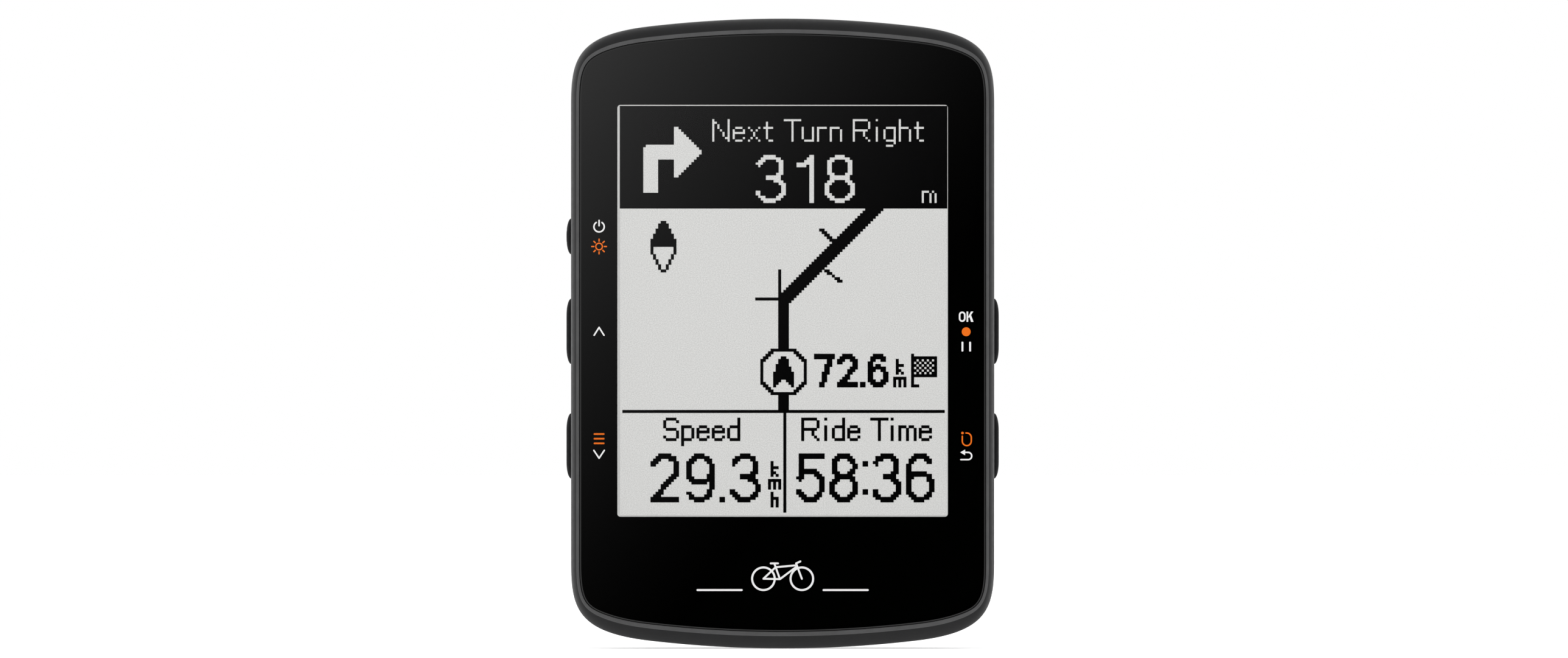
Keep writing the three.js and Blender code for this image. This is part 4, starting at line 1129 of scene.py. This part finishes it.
class Screen:
    """The display's dots: 1 where a dot is dark."""

    def __init__(self):
        self.dots = [[0] * COLUMNS for _ in range(ROWS)]

    def each(self, left, top, right, bottom):
        for row in range(max(0, math.floor(top)), min(ROWS, math.ceil(bottom) + 1)):
            for column in range(max(0, math.floor(left)), min(COLUMNS, math.ceil(right) + 1)):
                yield row, column, column + 0.5, row + 0.5

    def box(self, left, top, right, bottom, value=1):
        for row, column, x, y in self.each(left, top, right, bottom):
            if left <= x <= right and top <= y <= bottom:
                self.dots[row][column] = value

    def polygon(self, corners, value=1):
        xs = [p[0] for p in corners]
        ys = [p[1] for p in corners]
        for row, column, x, y in self.each(min(xs), min(ys), max(xs), max(ys)):
            inside = False
            for (ax, ay), (bx, by) in zip(corners, corners[1:] + corners[:1]):
                if (ay > y) != (by > y) and x < ax + (y - ay) * (bx - ax) / (by - ay):
                    inside = not inside
            if inside:
                self.dots[row][column] = value

    def stroke(self, points, width, value=1):
        """A line of one width through points."""
        reach = width / 2 + 0.02
        for (ax, ay), (bx, by) in zip(points, points[1:]):
            length = (bx - ax) ** 2 + (by - ay) ** 2
            box = (min(ax, bx) - width, min(ay, by) - width, max(ax, bx) + width, max(ay, by) + width)
            for row, column, x, y in self.each(*box):
                share = 0 if length < 1e-9 else ((x - ax) * (bx - ax) + (y - ay) * (by - ay)) / length
                share = min(1.0, max(0.0, share))
                dx = x - ax - share * (bx - ax)
                dy = y - ay - share * (by - ay)
                near = max(abs(dx), abs(dy)) if length < 1e-9 else math.hypot(dx, dy)
                if near <= reach:
                    self.dots[row][column] = value

    def figures(self, text, left, bottom, width, height, weight, gap, value=1):
        """A number in large figures; a one and the points between figures are narrower."""
        for name in text:
            wide = {"1": round(width * 0.55), ".": weight, ":": weight}.get(name, width)
            for points in FIGURES[name]:
                line = [
                    (
                        left + weight / 2 + px * max(0.0, wide - weight),
                        bottom - weight / 2 - py * (height - weight),
                    )
                    for px, py in points
                ]
                self.stroke(line, weight, value)
            left += wide + gap

    def letters(self, names, left, row, value=1):
        """Small letters from a column, standing on a row of dots."""
        for name in names:
            width, strokes = LETTERS[name]
            for points in strokes:
                for (ax, ay), (bx, by) in zip(points, points[1:]):
                    steps = max(abs(bx - ax), abs(by - ay), 1)
                    for i in range(steps + 1):
                        across = round(ax + (bx - ax) * i / steps)
                        up = round(ay + (by - ay) * i / steps)
                        self.dots[row - up][left + across] = value
            left += width + 1

    def widened(self):
        """Cells of a finer grid, where each dark dot also takes the narrow gaps round it.

        Even cells are the gaps, odd cells the dots."""

        def beside(cell, limit):
            return [k for k in ((cell - 1) // 2, cell // 2) if 0 <= k < limit]

        return [
            [
                any(self.dots[k][n] for k in beside(row, ROWS) for n in beside(column, COLUMNS))
                for column in range(2 * COLUMNS + 1)
            ]
            for row in range(2 * ROWS + 1)
        ]

    def blocks(self):
        """Dark cells gathered into rectangles, each (left, top, right, bottom) in dots."""

        def edge(line):
            return line // 2 + (SHADE if line % 2 else -SHADE)

        done, waiting = [], {}
        for row, cells in enumerate(self.widened() + [[False] * (2 * COLUMNS + 1)]):
            runs = []
            for column, dark in enumerate(cells):
                if dark and column and cells[column - 1]:
                    runs[-1][1] = column + 1
                elif dark:
                    runs.append([column, column + 1])
            going = {tuple(run): waiting.pop(tuple(run), row) for run in runs}
            for (start, end), top in waiting.items():
                done.append((edge(start), edge(top), edge(end), edge(row)))
            waiting = going
        return done


def navigation_page():
    """What the display shows: a turn hint, a route line, and five figures."""
    screen = Screen()
    # Turn hint, pale on dark.
    screen.box(0, 0, 128, 40)
    screen.box(9, 15, 21, 21, 0)
    screen.box(9, 15, 15, 34, 0)
    screen.box(9, 15, 10, 16)
    screen.polygon([(21, 8), (23, 8), (32.6, 17.6), (32.6, 18.4), (23, 28), (21, 28)], 0)
    screen.letters("Next Turn Right", 36, 13, value=0)
    screen.figures("318", 53, 38, 12, 19, 2, 4, value=0)
    screen.letters(["metre"], 118, 37, value=0)
    # Compass needle.
    for row, half in enumerate((1, 2, 2, 3, 3, 4, 4, 5, 5, 5), 45):
        screen.box(17 - half, row, 17 + half, row + 1)
    for row, half in enumerate((5, 5, 5, 4, 4, 3, 3, 2, 2, 1), 55):
        screen.box(17 - half, row, 18 - half, row + 1)
        screen.box(16 + half, row, 17 + half, row + 1)
    # Streets, and the route through them.
    screen.stroke([(53.7, 75.5), (62, 75.5)], 1)
    screen.stroke([(62.5, 65), (62.5, 75)], 1)
    screen.polygon([(77.9, 48), (79.6, 48), (85.6, 54), (83.9, 54)])
    screen.polygon([(79.8, 64), (81.6, 64), (87.4, 69.2), (85.6, 69.2)])
    screen.polygon([(62, 119), (62, 74.6), (96.7, 40), (103.7, 40), (66, 77.4), (66, 119)])
    mark = [
        (60, 95.3), (68, 95.3), (72.5, 99.8), (72.5, 108),
        (68, 112.5), (60, 112.5), (55.5, 108), (55.5, 99.8),
    ]
    screen.polygon(mark, 0)
    screen.stroke(mark + mark[:1], 1.1)
    screen.polygon([
        (63, 98), (65, 98), (66, 100), (67, 103), (68, 104.4), (68, 110), (67, 110), (65, 107),
        (63, 107), (61, 110), (60, 110), (60, 104.4), (61, 103), (62, 100),
    ])
    # Speed beside the route, with its units and a chequered flag.
    screen.figures("72.6", 76, 110, 8, 13, 2, 1)
    screen.letters(["kilo"], 108, 104)
    screen.letters(["milli"], 107, 109)
    screen.box(114, 97, 115, 110)
    screen.box(115, 109, 117, 110)
    screen.box(115, 98, 124, 106)
    for row in range(99, 105):
        for column in range(115, 123):
            if (row + column) % 2:
                screen.box(column, row, column + 1, row + 1, 0)
    # Two fields below.
    screen.box(1, 119, 127, 120)
    screen.box(64, 119, 65, 159)
    screen.letters("Speed", 17, 130)
    screen.letters("Ride Time", 71, 130)
    screen.figures("29.3", 12, 155, 11.4, 19, 2, 2.2)
    screen.letters(["kilo"], 59, 144)
    screen.letters(["milli"], 58, 149)
    screen.letters(["hour"], 59, 156)
    screen.figures("58:36", 69, 155, 11.2, 19, 2, 1.8)
    return screen


def display():
    """The display: a pale ground with dark dots."""
    ground = prism(rounded_box(46.4, 60, 0.5, 0, 1.6), 16.4, DISPLAY_TOP_Z)
    add_piece("display_ground", ground, [DISPLAY_LIGHT], stands_for=["lcd_panel"])
    width, height, x, y = WINDOW
    middle = (MATRIX_LEFT + COLUMNS * DOT / 2, MATRIX_TOP - ROWS * DOT / 2)
    # The border between the window's edge and the matrix is darker than the ground: painted shade, for the
    # shadow of the black band's edge.
    border = tube(
        rounded_box(width + 1, height + 1, 0.01, x, y),
        rounded_box(COLUMNS * DOT, ROWS * DOT, 0.01, *middle),
        DISPLAY_TOP_Z - 0.01,
        DISPLAY_TOP_Z + 0.005,
    )
    add_piece("display_border_shade", border, [DISPLAY_EDGE_SHADE])
    vertices, faces = [], []
    for left, top, right, bottom in navigation_page().blocks():
        x0 = MATRIX_LEFT + left * DOT
        x1 = MATRIX_LEFT + right * DOT
        y0 = MATRIX_TOP - bottom * DOT
        y1 = MATRIX_TOP - top * DOT
        base = len(vertices)
        for z in (DISPLAY_TOP_Z - 0.01, DISPLAY_TOP_Z + 0.01):
            vertices += [(x0, y0, z), (x1, y0, z), (x1, y1, z), (x0, y1, z)]
        faces.append((base + 3, base + 2, base + 1, base))
        faces.append((base + 4, base + 5, base + 6, base + 7))
        for i in range(4):
            j = (i + 1) % 4
            faces.append((base + i, base + j, base + 4 + j, base + 4 + i))
    add_piece("display_dots", mesh_of(vertices, faces), [DARK_DOT], sharp=20)


# ---------------------------------------------------------------- inner parts, shown as they are in the frame

INNER = {
    "foam": finish_material(
        "foam_adhesive", (0.10, 0.105, 0.11), 0.2, rough=(0.85, 0.95), grain=2500, grain_depth=0.04,
    ),
    "guide": finish_material("light_guide", (0.82, 0.84, 0.82), 0.03, rough=(0.2, 0.3), grain_depth=0.002),
    "carrier": finish_material(
        "carrier_grey", (0.045, 0.048, 0.053), rough=(0.5, 0.6), grain=3000, grain_depth=0.01,
    ),
    "flex": finish_material("flex_amber", (0.44, 0.17, 0.03), 0.1, rough=(0.3, 0.4), stretch=(1, 1, 0.1)),
    "ivory": finish_material("ivory_plastic", (0.80, 0.75, 0.62), 0.04),
    "board": finish_material("board_green", (0.010, 0.065, 0.028), 0.3, 900, (0.35, 0.5)),
    "chip": CHIP_BLACK,
    "tin": finish_material(
        "can_tinned", (0.60, 0.61, 0.63), 0.06, rough=(0.22, 0.36), metallic=1.0, grain_depth=0.002,
    ),
    "antenna": finish_material("antenna_ceramic", (0.58, 0.54, 0.44), 0.08, rough=(0.5, 0.6), grain=5000),
    "membrane": finish_material(
        "vent_membrane_white", (0.75, 0.74, 0.70), 0.05, rough=(0.8, 0.9), grain=6000, grain_depth=0.02,
    ),
    "cell": finish_material(
        "cell_foil", (0.45, 0.46, 0.48), 0.1, rough=(0.3, 0.42), metallic=0.6, grain=1500, grain_depth=0.02,
    ),
    "seal": SEAL_RUBBER,
    "steel": SCREW_STEEL,
    "red": finish_material("lead_red", (0.45, 0.02, 0.015)),
    "black": finish_material("lead_black", (0.012, 0.012, 0.013)),
}
INNER_NODES = {
    "lens_gasket": "foam", "battery_pad": "foam", "backlight_plate": "guide", "display_frame": "carrier",
    "display_flex": "flex", "display_connector": "ivory", "battery_header": "ivory", "main_pcb": "board",
    "processor_chip": "chip", "memory_chip": "chip", "buzzer": "chip", "battery_plug": "chip",
    "shield_can": "tin", "pressure_sensor": "tin", "gps_antenna": "antenna", "vent_membrane": "membrane",
    "battery": "cell", "housing_seal": "seal", "usb_seal": "seal", "pcb_screw_1": "steel",
    "pcb_screw_2": "steel", "usb_cover_pin": "steel", "battery_lead_red": "red",
    "battery_lead_black": "black",
}


def dress_inner_parts():
    nodes = dict(INNER_NODES)
    for name, *_ in BUTTONS:
        nodes[f"{name}_button_seal"] = "seal"
        nodes[f"{name}_switch"] = "chip"
        nodes[f"{name}_plunger"] = "ivory"
    for name, kind in nodes.items():
        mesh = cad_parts[name].data
        mesh.materials.clear()
        mesh.materials.append(INNER[kind])


front_case()
rear_case()
screws()
lug()
for row in BUTTONS:
    button(*row)
charging_cover()
charging_socket()
lens()
legends()
display()
dress_inner_parts()
